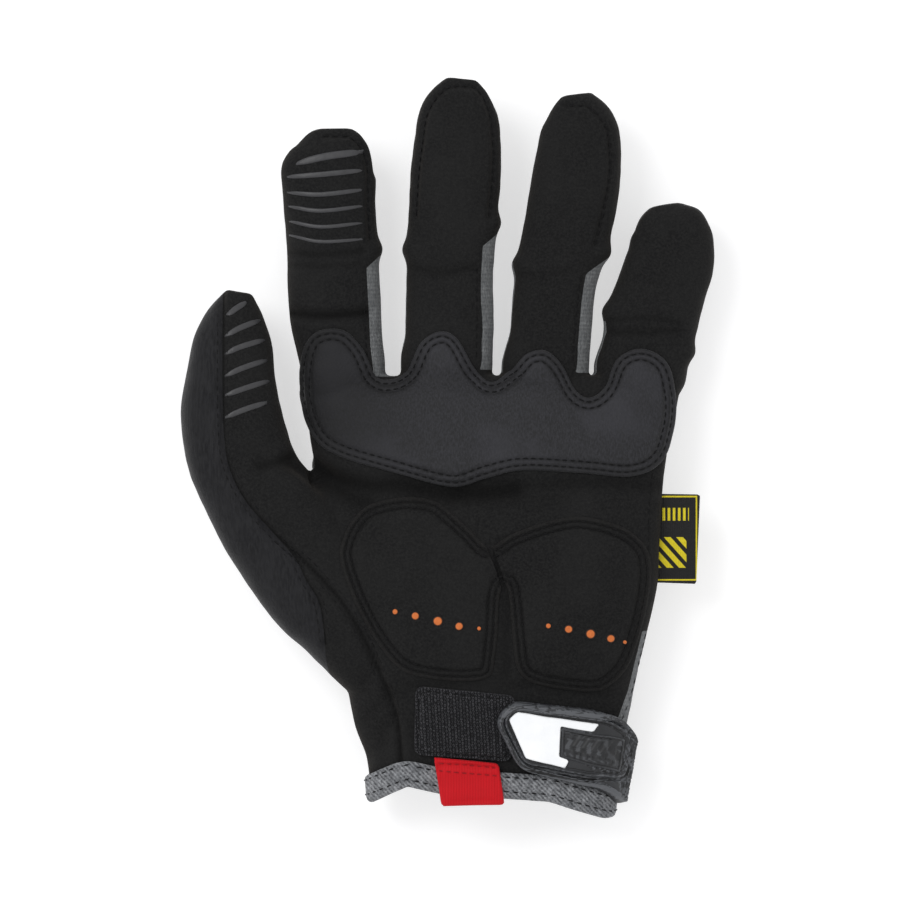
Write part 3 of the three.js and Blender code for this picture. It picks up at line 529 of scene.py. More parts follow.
def gusset_field(first, second):
    """Positive within the grey strip between two fingers."""
    def field(p):
        x, y, z = p.T
        over = z - seam_height(y)
        _, right = finger_sides(first, y)
        left, _ = finger_sides(second, y)
        fork = (right + left) / 2
        starts = [up_finger(n, GUSSET["start"]) for n in (first, second)]
        ends = [up_finger(n, GUSSET_ENDS[n]) for n in (first, second)]
        one = np.minimum.reduce([x - right + GUSSET["inset"], fork + GUSSET["overlap"] - x,
                                 over + GUSSET["below"], GUSSET["above"] - over, y - starts[0],
                                 ends[0] + GUSSET["slant"] * (x - right) - y])
        two = np.minimum.reduce([x - fork + GUSSET["overlap"], left + GUSSET["second_inset"] - x,
                                 over + GUSSET["below"], GUSSET["second_above"] - over, y - starts[1],
                                 ends[1] - y])
        return np.maximum(one, two)
    return field


THUMB_PANEL_EDGE = [(-0.721, 1.3), (-0.721, 0.966), (-0.714, 0.834), (-0.697, 0.771), (-0.658, 0.706),
                    (-0.587, 0.634), (-0.526, 0.571), (-0.498, 0.52), (-0.465, 0.471), (-0.452, 0.411),
                    (-0.445, 0.337), (-0.429, 0.277), (-0.392, 0.22)]
# Behind, a line from the fork to the wrist; past the fork, millimetres that part thumb from index finger.
THUMB_BACK = {"fork": (-0.505, 0.83), "wrist": (-0.4, 0.27), "beside": 4.0, "above": 6.0}


def thumb_field(p):
    """Positive on the outside of the thumb: past its seam in front, past a line to the wrist behind."""
    x, y, z = p.T
    edge = smooth_path(shares(THUMB_PANEL_EDGE), 2.0)[::-1]
    front = np.interp(y, edge[:, 1], edge[:, 0]) - x
    fork, wrist = shares([THUMB_BACK["fork"], THUMB_BACK["wrist"]])
    behind = np.interp(y, [wrist[1], fork[1]], [wrist[0], fork[0]]) - x
    rear = np.minimum(behind, seam_height(y) - z)
    low = y - THUMB_PANEL_EDGE[-1][1] * PALM["length"]
    index_side = np.maximum(fork[0] - THUMB_BACK["beside"] - x, fork[1] + THUMB_BACK["above"] - y)
    return np.minimum.reduce([np.maximum(front, rear), low, index_side])


SIDE_STRIP = [(0.4, 0.4), (0.362, 0.26), (0.325, 0.17)]
SIDE_STRIP_BELOW = 6.0


def side_strip_field(p):
    """Positive on the grey strip at the wrist, between its line on the palm and a little under the seam."""
    x, y, z = p.T
    line = shares(SIDE_STRIP)[::-1]
    return np.minimum.reduce([x - np.interp(y, line[:, 1], line[:, 0]), line[-1][1] - y, y - line[0][1],
                              z - seam_height(y) + SIDE_STRIP_BELOW])


# The cap's start as a share of the index finger, its slant from a place across, and its gap to the next.
TIP_CAP = {"start": 0.6, "slant": 0.12, "slant_from": -50.0, "gap": 2.0}


def tip_cap_field(p):
    """Positive on the back of the index fingertip."""
    x, y, z = p.T
    start = up_finger("index", TIP_CAP["start"])
    middle_left, _ = finger_sides("middle", y)
    slanted = y - start - TIP_CAP["slant"] * (x - TIP_CAP["slant_from"])
    return np.minimum.reduce([slanted, middle_left - TIP_CAP["gap"] - x, seam_height(y) - z])


def hem_field(p):
    """Positive above the cuff's edge."""
    edge = shares(HEM)
    return p[:, 1] - np.interp(p[:, 0], edge[:, 0], edge[:, 1])


def half_field(p):
    """Positive on the palm's side of the side seams."""
    return p[:, 2] - seam_height(p[:, 1])


def vertex_table(mesh, field):
    found = np.empty(len(mesh.vertices) * 3)
    mesh.vertices.foreach_get(field, found)
    return found.reshape(-1, 3)


def coordinates(mesh):
    return vertex_table(mesh, "co")


def normals(mesh):
    return vertex_table(mesh, "normal")


def move_to(mesh, points):
    mesh.vertices.foreach_set("co", np.ascontiguousarray(points).ravel())
    mesh.update()


def cut_along(bm, field):
    """Splits the edges and faces that the field's zero line crosses, so that it has its own edges."""
    value = field(np.array([v.co for v in bm.verts]))
    value[np.abs(value) < 1e-3] = 1e-3
    crossing = [e for e in bm.edges if value[e.verts[0].index] * value[e.verts[1].index] < 0]
    on_line = set()
    faces = {f for e in crossing for f in e.link_faces}
    for edge in crossing:
        a, b = edge.verts
        share = value[a.index] / (value[a.index] - value[b.index])
        _, made = bmesh.utils.edge_split(edge, a, share)
        on_line.add(made)
    for face in faces:
        ends = [v for v in face.verts if v in on_line]
        if len(ends) == 2:
            bmesh.utils.face_split(face, ends[0], ends[1])
    bm.verts.index_update()


# Seams that part nothing: paths on the palm side, in shares of the palm.
WEDGE_SEAM = [(-0.62, 0.66), (-0.56, 0.6), (-0.526, 0.571), (-0.498, 0.52), (-0.465, 0.471),
              (-0.452, 0.411), (-0.447, 0.37)]
# Folds: path in shares, then depth and width in millimetres.
FOLDS = [
    ([(-0.5, 0.8), (-0.42, 0.765), (-0.34, 0.745), (-0.24, 0.745), (-0.1, 0.725), (0.06, 0.735)], 2.4, 8.0),
    ([(-0.09, 0.732), (0.1, 0.745), (0.25, 0.75), (0.44, 0.745)], 0.9, 6.0),
    ([(-0.452, 0.752), (-0.42, 0.738), (-0.34, 0.705)], 2.0, 9.0),
    ([(-0.545, 0.795), (-0.47, 0.77), (-0.41, 0.74)], 1.2, 5.0),
    ([(-0.56, 1.296), (-0.46, 1.29), (-0.35, 1.298)], 0.55, 3.0),
    ([(-0.565, 1.27), (-0.47, 1.262), (-0.36, 1.268)], 0.3, 2.4),
    ([(-0.56, 1.154), (-0.46, 1.146), (-0.33, 1.154)], 1.2, 3.6),
    ([(-0.22, 1.262), (-0.14, 1.247), (-0.05, 1.26)], 0.45, 3.4),
    ([(0.06, 1.25), (0.13, 1.24), (0.21, 1.255)], 0.3, 3.4),
    ([(0.3, 1.11), (0.38, 1.105), (0.5, 1.112)], 0.55, 3.2),
    ([(0.31, 1.135), (0.42, 1.14), (0.5, 1.13)], 0.35, 2.6),
    ([(-0.62, 0.79), (-0.57, 0.8), (-0.53, 0.815)], 0.9, 4.0),
    ([(-0.36, 0.69), (-0.1, 0.712), (0.02, 0.7), (0.2, 0.715)], 0.5, 8.0),
    ([(0.025, 0.6), (0.036, 0.48), (0.036, 0.3)], 0.7, 5.0),
    ([(-0.27, 0.25), (-0.2, 0.275), (0.05, 0.275), (0.3, 0.25)], 0.6, 6.0),
    ([(-0.36, 0.1), (-0.31, 0.13), (-0.27, 0.2)], 0.5, 6.0),
    ([(-0.38, 0.18), (-0.33, 0.2), (-0.28, 0.26)], 0.5, 5.0),
]
# Ends of the suede fingertips, which stand out of the finger's side: finger, side, share of its length.
TIP_ENDS = [("index", 1, 0.51), ("middle", -1, 0.4), ("middle", 1, 0.49), ("ring", -1, 0.38),
            ("ring", 1, 0.42), ("little", -1, 0.36), ("little", 1, 0.12)]

# Sunk seams round the fingertips: inset from the outline in millimetres, first share of the length, sides.
TIP_SEAMS = {"index": (2.6, 0.52, "right"), "middle": (2.7, 0.5, "both"), "ring": (4.0, 0.42, "right")}
# How a seam is sunk: its depth and width, then the swelling beside it, how far off and how wide.
THUMB_SINK = (0.9, 1.6, 0.35, 2.6, 3.0)
WEDGE_SINK = (0.7, 1.5, 0.25, 2.4, 2.6)
TIP_SINK = (0.6, 1.5, 0.2, 2.0, 2.4)
TIP_SWELL = {"rise": 1.5, "width": 6.5, "reach": 22.0}


def strip_outline(centres, half):
    """Up the right side of a strip and down its left side, from its middle line and half width."""
    right = np.column_stack([centres[:, 0] + half, centres[:, 1]])
    left = np.column_stack([centres[:, 0] - half, centres[:, 1]])
    return np.vstack([right, left[::-1]])


def tip_seam(name):
    """The seam inside a fingertip's outline, up its sides and round its end."""
    inset, low, sides = TIP_SEAMS[name]
    centres, half = finger_edge(name, np.linspace(low - 0.04, FINGER_SECTIONS[name][-1][0], 90))
    path = inset_path(strip_outline(centres, half), inset, 0.8)
    path = path[path[:, 1] > centres[0, 1] + inset + 1.5]
    if sides == "right":
        middle = np.interp(path[:, 1], centres[:, 1], centres[:, 0])
        path = path[path[:, 0] > middle - 4.0]
    return path


def fold_shade_depth(xy):
    """How deep in a fold, or how close to a sunk seam, each place lies, from 0 to 1: the mask of the painted
    shade in folds and seams.
    """
    deep = np.zeros(len(xy))
    for path, sink, width in FOLDS:
        near = near_path(xy, smooth_path(shares(path), 2.5), width * 2)
        deep = np.maximum(deep, min(sink * 3 / width, 1.0) * bump(near, width * 0.8))
    for path in (THUMB_SEAM, WEDGE_SEAM):
        deep = np.maximum(deep, 0.9 * bump(near_path(xy, smooth_path(shares(path), 2.5), 4.0), 1.1))
    return deep


def sunk(distance, sink, width, swelling, aside, spread):
    """How deep a sewn line draws the cloth in, less the swelling beside it."""
    return sink * bump(distance, width) - swelling * bump(distance - aside, spread)


def shaped_skin(mesh):
    """The hand form with its seams sunk, its folds pressed in and its cloth unevenness."""
    p, n = coordinates(mesh), normals(mesh)
    up = ramp(n[:, 2], 0.05, 0.6)
    down = ramp(-n[:, 2], 0.05, 0.6)
    xy = p[:, :2]
    depth = np.zeros(len(p))
    for path, sink, width in FOLDS:
        d = near_path(xy, smooth_path(shares(path), 2.5), width * 3)
        depth -= up * sink * bump(d, width) - up * 0.25 * sink * bump(d - width * 0.95, width * 0.8)
    for name, side, share in TIP_ENDS:
        centre, _ = finger_edge(name, [share])
        toward = np.where(np.sign(p[:, 0] - centre[0, 0]) == side, 1.0, 0.0)
        near = np.abs(p[:, 0] - centre[0, 0]) < TIP_SWELL["reach"]
        turned = ramp(side * n[:, 0], 0.35, 0.9)
        depth += near * toward * turned * TIP_SWELL["rise"] * bump(p[:, 1] - centre[0, 1], TIP_SWELL["width"])
    for path, shape in ((THUMB_SEAM, THUMB_SINK), (WEDGE_SEAM, WEDGE_SINK)):
        depth -= up * sunk(near_path(xy, smooth_path(shares(path), 2.5), 9.0), *shape)
    for name in TIP_SEAMS:
        depth -= up * sunk(near_path(xy, tip_seam(name), 6.0), *TIP_SINK)
    side = np.abs(p[:, 2] - seam_height(p[:, 1]))
    edge = ramp(1 - np.abs(n[:, 2]), 0.4, 0.9)
    depth -= 0.5 * edge * bump(side, 1.8)
    depth += 0.35 * lump_field(p, 26.0, 3) * (1 - 0.5 * down) + 0.16 * lump_field(p, 9.0, 5)
    flat = ramp(p[:, 2], 0.0, 8.0)
    move_to(mesh, p + n * (depth * np.maximum(up, flat))[:, None])
    return mesh


PANELS = [("gusset_index_middle", gusset_field(*FORKS[0])), ("gusset_middle_ring", gusset_field(*FORKS[1])),
          ("gusset_ring_little", gusset_field(*FORKS[2])), ("index_tip_cap", tip_cap_field),
          ("thumb_panel", thumb_field), ("side_strip", side_strip_field), ("palm_panel", half_field),
          ("back_panel", lambda p: -half_field(p))]


def sewn_panels(mesh):
    """The skin cut open at the cuff and into its panels, as one mesh for each."""
    bm = bmesh.new()
    bm.from_mesh(mesh)
    for field in [hem_field] + [f for _, f in PANELS[:-1]]:
        cut_along(bm, field)
    bm.faces.ensure_lookup_table()
    centres = np.array([f.calc_center_median() for f in bm.faces])
    chosen = np.full(len(centres), -1)
    for k, (_, field) in enumerate(PANELS):
        chosen = np.where((chosen < 0) & (field(centres) > 0), k, chosen)
    chosen[hem_field(centres) < 0] = -1
    label = bm.faces.layers.int.new("panel")
    for face, k in zip(bm.faces, chosen):
        face[label] = int(k)
    found = {}
    for k, (name, _) in enumerate(PANELS):
        part = bm.copy()
        tag = part.faces.layers.int["panel"]
        bmesh.ops.delete(part, geom=[f for f in part.faces if f[tag] != k], context="FACES")
        found[name] = part
    bm.free()
    return found


# Patches laid on the skin

class Ground:
    """The skin seen from one side: its height on a grid of millimetres, and how steeply it falls."""
    LOW = (-118.0, -26.0)
    CELLS = (206, 276)
    ABOVE = 200.0
    FALL = 1.4
    FALLING_CELLS = 26
    BOTTOM = -30.0
    STEEPEST = 2.2

    def __init__(self, tree, side):
        self.side = side
        nx, ny = self.CELLS
        self.z = np.full((nx, ny), np.nan)
        for i in range(nx):
            for j in range(ny):
                start = (self.LOW[0] + i, self.LOW[1] + j, side * self.ABOVE)
                hit = tree.ray_cast(start, (0, 0, -side))[0]
                if hit:
                    self.z[i, j] = hit.z * side
        for _ in range(self.FALLING_CELLS):
            self.spread()
        self.z = np.where(np.isnan(self.z), self.BOTTOM, self.z)
        for _ in range(3):
            self.z = (self.z * 2 + np.roll(self.z, 1, 0) + np.roll(self.z, -1, 0) + np.roll(self.z, 1, 1)
                      + np.roll(self.z, -1, 1)) / 6
        self.slope = np.gradient(self.z)

    def spread(self):
        """Past the outline the ground goes on down, so that a patch's edge wraps over it."""
        around = np.stack([np.roll(self.z, s, a) for s in (1, -1) for a in (0, 1)])
        known = ~np.isnan(around)
        mean = np.where(known, around, 0).sum(0) / np.maximum(known.sum(0), 1)
        self.z = np.where(np.isnan(self.z) & (known.sum(0) > 0), mean - self.FALL, self.z)

    def read(self, table, xy):
        """A table's values between its cells."""
        at = np.clip(xy - self.LOW, 0, np.array(self.CELLS) - 2.001)
        i = at.astype(int)
        f = at - i
        a, b = i.T
        u, v = f.T
        low = table[a, b] * (1 - u) * (1 - v) + table[a + 1, b] * u * (1 - v)
        return low + table[a, b + 1] * (1 - u) * v + table[a + 1, b + 1] * u * v

    def normal(self, xy):
        """The way out of the skin, held back where it is very steep."""
        n = np.stack([-self.read(self.slope[0], xy), -self.read(self.slope[1], xy), np.ones(len(xy))], axis=1)
        steep = np.linalg.norm(n[:, :2], axis=1)
        n[:, :2] *= (np.minimum(steep, self.STEEPEST) / np.maximum(steep, 1e-6))[:, None]
        n /= np.linalg.norm(n, axis=1)[:, None]
        return n * (1, 1, self.side)

    def place(self, points):
        """Points given as x, y and height over the skin."""
        xy = points[:, :2]
        base = np.column_stack([xy, self.read(self.z, xy) * self.side])
        placed = base + self.normal(xy) * points[:, 2:3]
        placed[:, 2] = np.maximum(placed[:, 2], 0.0)
        return placed


def skin_tree(mesh):
    bm = bmesh.new()
    bm.from_mesh(mesh)
    tree = BVHTree.FromBMesh(bm)
    bm.free()
    return tree


def points_of(bm):
    return np.array([v.co for v in bm.verts])


def move_verts(bm, points):
    for v, p in zip(bm.verts, points):
        v.co = p


def cut_sheet(outline, spacing, levels=(), also=()):
    """A flat grid cut to a closed outline, with edge lines at levels inside it and inside other lines."""
    low, high = outline.min(0) - spacing, outline.max(0) + spacing
    size = high - low
    bm = bmesh.new()
    cells = np.ceil(size / spacing).astype(int)
    bmesh.ops.create_grid(bm, x_segments=int(cells[0]), y_segments=int(cells[1]), size=0.5)
    bmesh.ops.scale(bm, vec=(size[0], size[1], 1), verts=bm.verts)
    bmesh.ops.translate(bm, vec=(*((low + high) / 2), 0), verts=bm.verts)
    for level in (0, *levels):
        cut_along(bm, lambda p: signed(p[:, :2], outline) - level)
    for line, level in also:
        cut_along(bm, lambda p: signed(p[:, :2], line) - level)
    faces = bm.faces[:]
    centres = np.array([f.calc_center_median() for f in faces])
    out = signed(centres[:, :2], outline) < 0
    bmesh.ops.delete(bm, geom=[f for f, o in zip(faces, out) if o], context="FACES")
    bmesh.ops.dissolve_degenerate(bm, dist=0.02, edges=bm.edges)
    bm.verts.index_update()
    return bm


def raise_sheet(bm, height, foot):
    """Lifts a flat sheet to its heights and pulls its rim down to a foot."""
    points = points_of(bm)
    points[:, 2] = height(points[:, :2])
    move_verts(bm, points)
    rim = [e for e in bm.edges if e.is_boundary]
    out = bmesh.ops.extrude_edge_only(bm, edges=rim)["geom"]
    for v in out:
        if isinstance(v, bmesh.types.BMVert):
            v.co.z = foot
    bmesh.ops.recalc_face_normals(bm, faces=bm.faces)
    if sum(f.normal.z for f in bm.faces) < 0:
        bmesh.ops.reverse_faces(bm, faces=bm.faces)
    return bm


def quarter(distance, width):
    """A rounded edge, from 0 at the rim to 1 at a width inside it."""
    t = np.clip(distance / width, 0, 1)
    return np.sqrt(1 - (1 - t) ** 2)


def inset_path(outline, distance, spacing=0.6):
    """A closed line at a distance inside an outline."""
    path = even(np.vstack([outline, outline[:1]]), spacing, closed=True)
    way = np.roll(path, -1, 0) - np.roll(path, 1, 0)
    way /= np.linalg.norm(way, axis=1)[:, None]
    across = np.column_stack([-way[:, 1], way[:, 0]])
    if inside(path + across * 0.3, outline).mean() < 0.5:
        across = -across
    moved = path + across * distance
    return moved[signed(moved, outline) > distance - 0.12]


def patch(outline, height, ground, spacing, levels, foot, also=()):
    """A sewn-on or moulded piece: an outline, its height over the skin, laid on one side."""
    bm = raise_sheet(cut_sheet(outline, spacing, levels, also), height, foot)
    move_verts(bm, ground.place(points_of(bm)))
    if ground.side < 0:
        bmesh.ops.reverse_faces(bm, faces=bm.faces)
    return bm


def beads(centres, along, out, length, thick):
    """Copies of one small drawn-out ball: a place, a direction and an upright for each."""
    count = len(centres)
    bm = bmesh.new()
    bmesh.ops.create_uvsphere(bm, u_segments=6, v_segments=5, radius=1)
    each = len(bm.verts)
    made = as_object(bm, "beads")
    copies = made.modifiers.new("copies", "ARRAY")
    copies.count = count
    mesh = applied(made)
    along = along / np.linalg.norm(along, axis=1)[:, None]
    side = np.cross(out, along)
    side /= np.linalg.norm(side, axis=1)[:, None]
    up = np.cross(along, side)
    ball = coordinates(mesh)[:each]
    p = (centres[:, None] + ball[None, :, 2:3] * length / 2 * along[:, None] + ball[None, :, 0:1] * thick / 2
         * side[:, None] + ball[None, :, 1:2] * thick / 2 * up[:, None])
    move_to(mesh, p.reshape(-1, 3))
    found = bmesh.new()
    found.from_mesh(mesh)
    bpy.data.meshes.remove(mesh)
    return found


def stitches(paths, ground, height, pitch, length, thick):
    """Rows of thread: one small drawn-out bead for each stitch."""
    middles, ways = [], []
    for path in paths:
        spots = even(path, pitch)
        middles.append((spots[1:] + spots[:-1]) / 2)
        ways.append((spots[1:] - spots[:-1]) * 0.1)
    middle, way = np.vstack(middles), np.vstack(ways)
    z = height(middle)
    here = ground.place(np.column_stack([middle, z]))
    ahead = ground.place(np.column_stack([middle + way, z]))
    return beads(here, ahead - here, ground.normal(middle), length, thick)


def joined(pieces):
    """Several bmeshes as one."""
    whole = bmesh.new()
    for bm in pieces:
        mesh = bpy.data.meshes.new("part")
        bm.to_mesh(mesh)
        bm.free()
        whole.from_mesh(mesh)
        bpy.data.meshes.remove(mesh)
    return whole


def finished(bm, name, material, slot, replaces=()):
    """Places a piece in the frame, gives it its finish and makes it ride."""
    bmesh.ops.transform(bm, matrix=TO_FRAME, verts=bm.verts)
    for face in bm.faces:
        face.smooth = True
    made = as_object(bm, name)
    made.data.materials.append(material)
    made.data.shade_smooth()
    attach(made, "root")
    for node in replaces:
        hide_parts(node)
    return made


def keep_edges(made, angle):
    """Keeps the moulded edges crisp."""
    made.data.set_sharp_from_angle(angle=math.radians(angle))


def declare_cloth(size):
    """Turns the rectangle that holds a cut from millimetres into metres; nothing more is done with it."""
    length, width = (s * MM for s in size)


# Finishes

def light_share(level):
    """The light of a screen's 0 to 255 level, as a share of white."""
    share = level / 255
    return share / 12.92 if share <= 0.04045 else ((share + 0.055) / 1.055) ** 2.4


def tone(red, green, blue):
    """A colour given in a screen's 0 to 255 levels."""
    return (light_share(red), light_share(green), light_share(blue), 1.0)


class Value:
    """One socket's number or vector, on which sums are written as plain expressions."""

    def __init__(self, finish, socket):
        self.finish = finish
        self.socket = socket

    def sum(self, operation, *others):
        return self.finish.node("ShaderNodeMath", {"operation": operation},
                                {k: v for k, v in enumerate((self, *others))})

    def __add__(self, other):
        return self.sum("ADD", other)

    __radd__ = __add__

    def __mul__(self, other):
        return self.sum("MULTIPLY", other)

    __rmul__ = __mul__

    def __sub__(self, other):
        return self.sum("SUBTRACT", other)

    def __rsub__(self, other):
        return self.finish.node("ShaderNodeMath", {"operation": "SUBTRACT"}, {0: other, 1: self})

    def __truediv__(self, other):
        return self.sum("DIVIDE", other)

    def __pow__(self, other):
        return self.sum("POWER", other)

    def wave(self):
        return self.sum("SINE")

    def size(self):
        return self.sum("ABSOLUTE")

    def least(self, other):
        return self.sum("MINIMUM", other)

    def most(self, other):
        return self.sum("MAXIMUM", other)

    def rest(self, step):
        return self.sum("FLOORED_MODULO", step)

    def ribs(self, pitch):
        """Even ribs, 0 between them and 1 on them."""
        return (self * (2 * math.pi / pitch)).wave() * 0.5 + 0.5

    def half_steps(self):
        """Half a step on every other row, so that the rows are set between each other."""
        return ((self - self.rest(1.0)) * 0.5).rest(1.0)

    def step(self, low, high):
        """From 0 at low to 1 at high."""
        return self.finish.node("ShaderNodeMapRange", {"interpolation_type": "SMOOTHSTEP"},
                                {"Value": self, "From Min": low, "From Max": high})


class Finish:
    """A material with one Principled surface, built up by named helpers."""

    def __init__(self, name, **fixed):
        self.material = bpy.data.materials.new(name)
        self.material.use_nodes = True
        self.tree = self.material.node_tree
        self.tree.nodes.clear()
        self.shader = self.tree.nodes.new("ShaderNodeBsdfPrincipled")
        out = self.tree.nodes.new("ShaderNodeOutputMaterial")
        self.tree.links.new(self.shader.outputs[0], out.inputs[0])
        for socket, value in fixed.items():
            self.shader.inputs[socket.replace("_", " ")].default_value = value

    def node(self, kind, settings=None, sockets=None, out=0):
        made = self.tree.nodes.new(kind)
        for key, value in (settings or {}).items():
            setattr(made, key, value)
        for key, value in (sockets or {}).items():
            self.feed(made.inputs[key], value)
        return Value(self, made.outputs[out])

    def feed(self, socket, value):
        if isinstance(value, Value):
            self.tree.links.new(value.socket, socket)
        else:
            socket.default_value = value

    def surface(self, **sockets):
        for key, value in sockets.items():
            self.feed(self.shader.inputs[key.replace("_", " ")], value)
        return self.material

    def place(self):
        """Where the surface lies, in millimetres."""
        at = self.node("ShaderNodeTexCoord", out="Object")
        return self.node("ShaderNodeVectorMath", {"operation": "SCALE"}, {0: at, "Scale": 1 / MM})

    def parts(self, vector):
        return [self.node("ShaderNodeSeparateXYZ", sockets={0: vector}, out=k) for k in range(3)]

    def drawn_out(self, vector, share):
        """Places with their Y shortened, so that a pattern on them is long along the glove."""
        return self.node("ShaderNodeVectorMath", {"operation": "MULTIPLY"}, {0: vector, 1: (1.0, share, 1.0)})

    def noise(self, vector, size, detail=3.0, roughness=0.5):
        return self.node("ShaderNodeTexNoise", {}, {"Vector": vector, "Scale": 1 / size, "Detail": detail,
                                                    "Roughness": roughness})

    def pebbles(self, vector, size):
        return self.node("ShaderNodeTexVoronoi", {"feature": "SMOOTH_F1"},
                         {"Vector": vector, "Scale": 1 / size, "Randomness": 1.0})

    def attribute(self, name):
        return self.node("ShaderNodeAttribute", {"attribute_name": name}, out="Fac")

    def mix(self, share, first, second):
        made = self.tree.nodes.new("ShaderNodeMix")
        made.data_type = "RGBA"
        self.feed(made.inputs[0], share)
        self.feed(made.inputs[6], first)
        self.feed(made.inputs[7], second)
        return Value(self, made.outputs[2])

    def bump(self, height, depth):
        """Relief whose height runs over a depth in millimetres."""
        return self.node("ShaderNodeBump", {}, {"Height": height, "Distance": depth * MM, "Strength": 1.0})


def suede_finish():
    """Black split leather cloth with a short matted pile: a painted sheen, paler and browner, where the cloth
    turns away from the top, and painted shade in its folds and seams.
    """
    f = Finish("suede", Sheen_Weight=0.12, Sheen_Roughness=0.5, Sheen_Tint=tone(120, 116, 112),
               Specular_IOR_Level=0.12)
    at = f.place()
    fine = f.noise(at, 0.36, 4.0, 0.7)
    matted = f.noise(at, 0.8, 4.0, 0.65)
    patchy = f.noise(at, 5.0, 3.0, 0.5)
    broad = f.noise(at, 24.0, 2.0)
    # Painted sheen where the cloth turns away from the top, patchy.
    nap_sheen = (f.attribute("nap_sheen") * (0.3 + 0.7 * patchy)).least(1.0)
    dark = f.mix(matted.step(0.3, 0.72), tone(18, 18, 19), tone(33, 33, 33))
    shaded = f.mix(broad.step(0.35, 0.7) * 0.35, dark, tone(36, 36, 36))
    # Painted shade: the folds, sunk seams and pad furrows are darkened towards near black, with the painted
    # sheen mixed in.
    colour = f.mix(f.attribute("fold") * 0.75, f.mix(nap_sheen * 0.35, shaded, tone(52, 48, 43)), tone(5, 5, 5))
    flecked = f.mix(fine.step(0.55, 0.8) * 0.5, colour, tone(64, 63, 62))
    return f.surface(Base_Color=flecked, Roughness=0.86 + 0.12 * fine,
                     Normal=f.bump(fine * 0.6 + matted * 0.5 + patchy * 0.3, 0.28))


def stretch_finish():
    """Smooth brushed stretch cloth on the outside of the thumb, with faint streaks along it and a painted
    sheen where it turns away from the top.
    """
    f = Finish("stretch", Sheen_Weight=0.12, Sheen_Roughness=0.4, Specular_IOR_Level=0.16)
    at = f.place()
    fine = f.noise(at, 0.3, 3.0, 0.6)
    streak = f.noise(f.drawn_out(at, 0.16), 0.7, 3.0, 0.6)
    patchy = f.noise(at, 7.0, 3.0, 0.5)
    # Painted sheen where the cloth turns away from the top, patchy.
    nap_sheen = (f.attribute("nap_sheen") * (0.3 + 0.6 * patchy)).least(1.0)
    cloth = f.mix(streak.step(0.3, 0.7), tone(22, 22, 24), tone(36, 36, 38))
    cloth = f.mix(patchy.step(0.3, 0.7) * 0.4, cloth, tone(37, 37, 39))
    colour = f.mix(nap_sheen * 0.35, cloth, tone(52, 51, 51))
    flecked = f.mix(fine.step(0.56, 0.8) * 0.3, colour, tone(66, 66, 69))
    return f.surface(Base_Color=flecked, Roughness=0.78 + 0.14 * fine,
                     Normal=f.bump(fine * 0.6 + streak * 0.8, 0.2))


def gusset_finish():
    """Grey stretch knit with fine upright ribs."""
    f = Finish("gusset_knit", Sheen_Weight=0.1, Specular_IOR_Level=0.2)
    at = f.place()
    _, y, _ = f.parts(at)
    fine = f.noise(f.drawn_out(at, 0.3), 0.5, 3.0, 0.6)
    soft = f.noise(at, 4.0, 3.0)
    loops = fine.step(0.3, 0.7) * 0.75 + y.ribs(1.3) * 0.25
    tops = f.mix(soft.step(0.3, 0.7), tone(112, 114, 115), tone(126, 128, 129))
    return f.surface(Base_Color=f.mix(loops, tone(80, 82, 84), tops), Roughness=0.82 + 0.1 * soft,
                     Normal=f.bump(loops, 0.25))


def mesh_finish():
    """Black knit of the back of the hand, with rows of long holes."""
    f = Finish("knit_mesh", Sheen_Weight=0.1, Specular_IOR_Level=0.15)
    at = f.place()
    x, y, z = f.parts(at)
    row = y / 3.0
    u = ((x + z * 0.7) / 1.9 + row.half_steps()).rest(1.0) - 0.5
    v = row.rest(1.0) - 0.5
    hole = 1 - (u * u * 8.0 + v * v * 5.4).step(0.55, 1.0)
    strand = ((x + y) * 7.0).wave() * ((x - y) * 7.0).wave() * 0.5 + 0.5
    colour = f.mix(hole, f.mix(strand, tone(24, 24, 26), tone(44, 44, 47)), tone(6, 6, 7))
    return f.surface(Base_Color=colour, Roughness=0.72 + 0.2 * hole,
                     Normal=f.bump((1 - hole) + strand * 0.25, 0.5))


def reinforcement_finish():
    """Charcoal pad cloth with a fine upright grain, darker towards the thumb, with painted shade along its
    rolled rim and in its stitched furrows.
    """
    f = Finish("reinforcement", Specular_IOR_Level=0.26, Sheen_Weight=0.08, Sheen_Roughness=0.4)
    at = f.place()
    grain = f.noise(f.drawn_out(at, 0.4), 0.5, 4.0, 0.6)
    pebble = f.pebbles(at, 0.8)
    broad = f.noise(at, 26.0, 2.0)
    crease = f.noise(at, 4.5, 5.0, 0.7)
    colour = f.mix(grain.step(0.32, 0.72), tone(29, 29, 31), tone(46, 46, 50))
    colour = f.mix(broad.step(0.4, 0.62) * 0.5, colour, tone(52, 52, 57))
    x, _, _ = f.parts(at)
    colour = f.mix(x.step(-52.0, 2.0), f.mix(0.75, colour, tone(14, 14, 15)), colour)
    # Painted shade along the rolled rim, patchy.
    rolled_rim_shade = (f.attribute("rolled_rim_shade") * (0.6 + 0.6 * crease)).least(1.0)
    # Painted shade in the stitched furrows.
    colour = f.mix(f.attribute("fold") * 0.8, f.mix(rolled_rim_shade * 0.5, colour, tone(26, 26, 27)), tone(8, 8, 9))
    return f.surface(Base_Color=colour, Roughness=0.62 + 0.2 * grain,
                     Normal=f.bump(pebble * 0.5 + grain * 0.7 + crease * 0.4, 0.26))


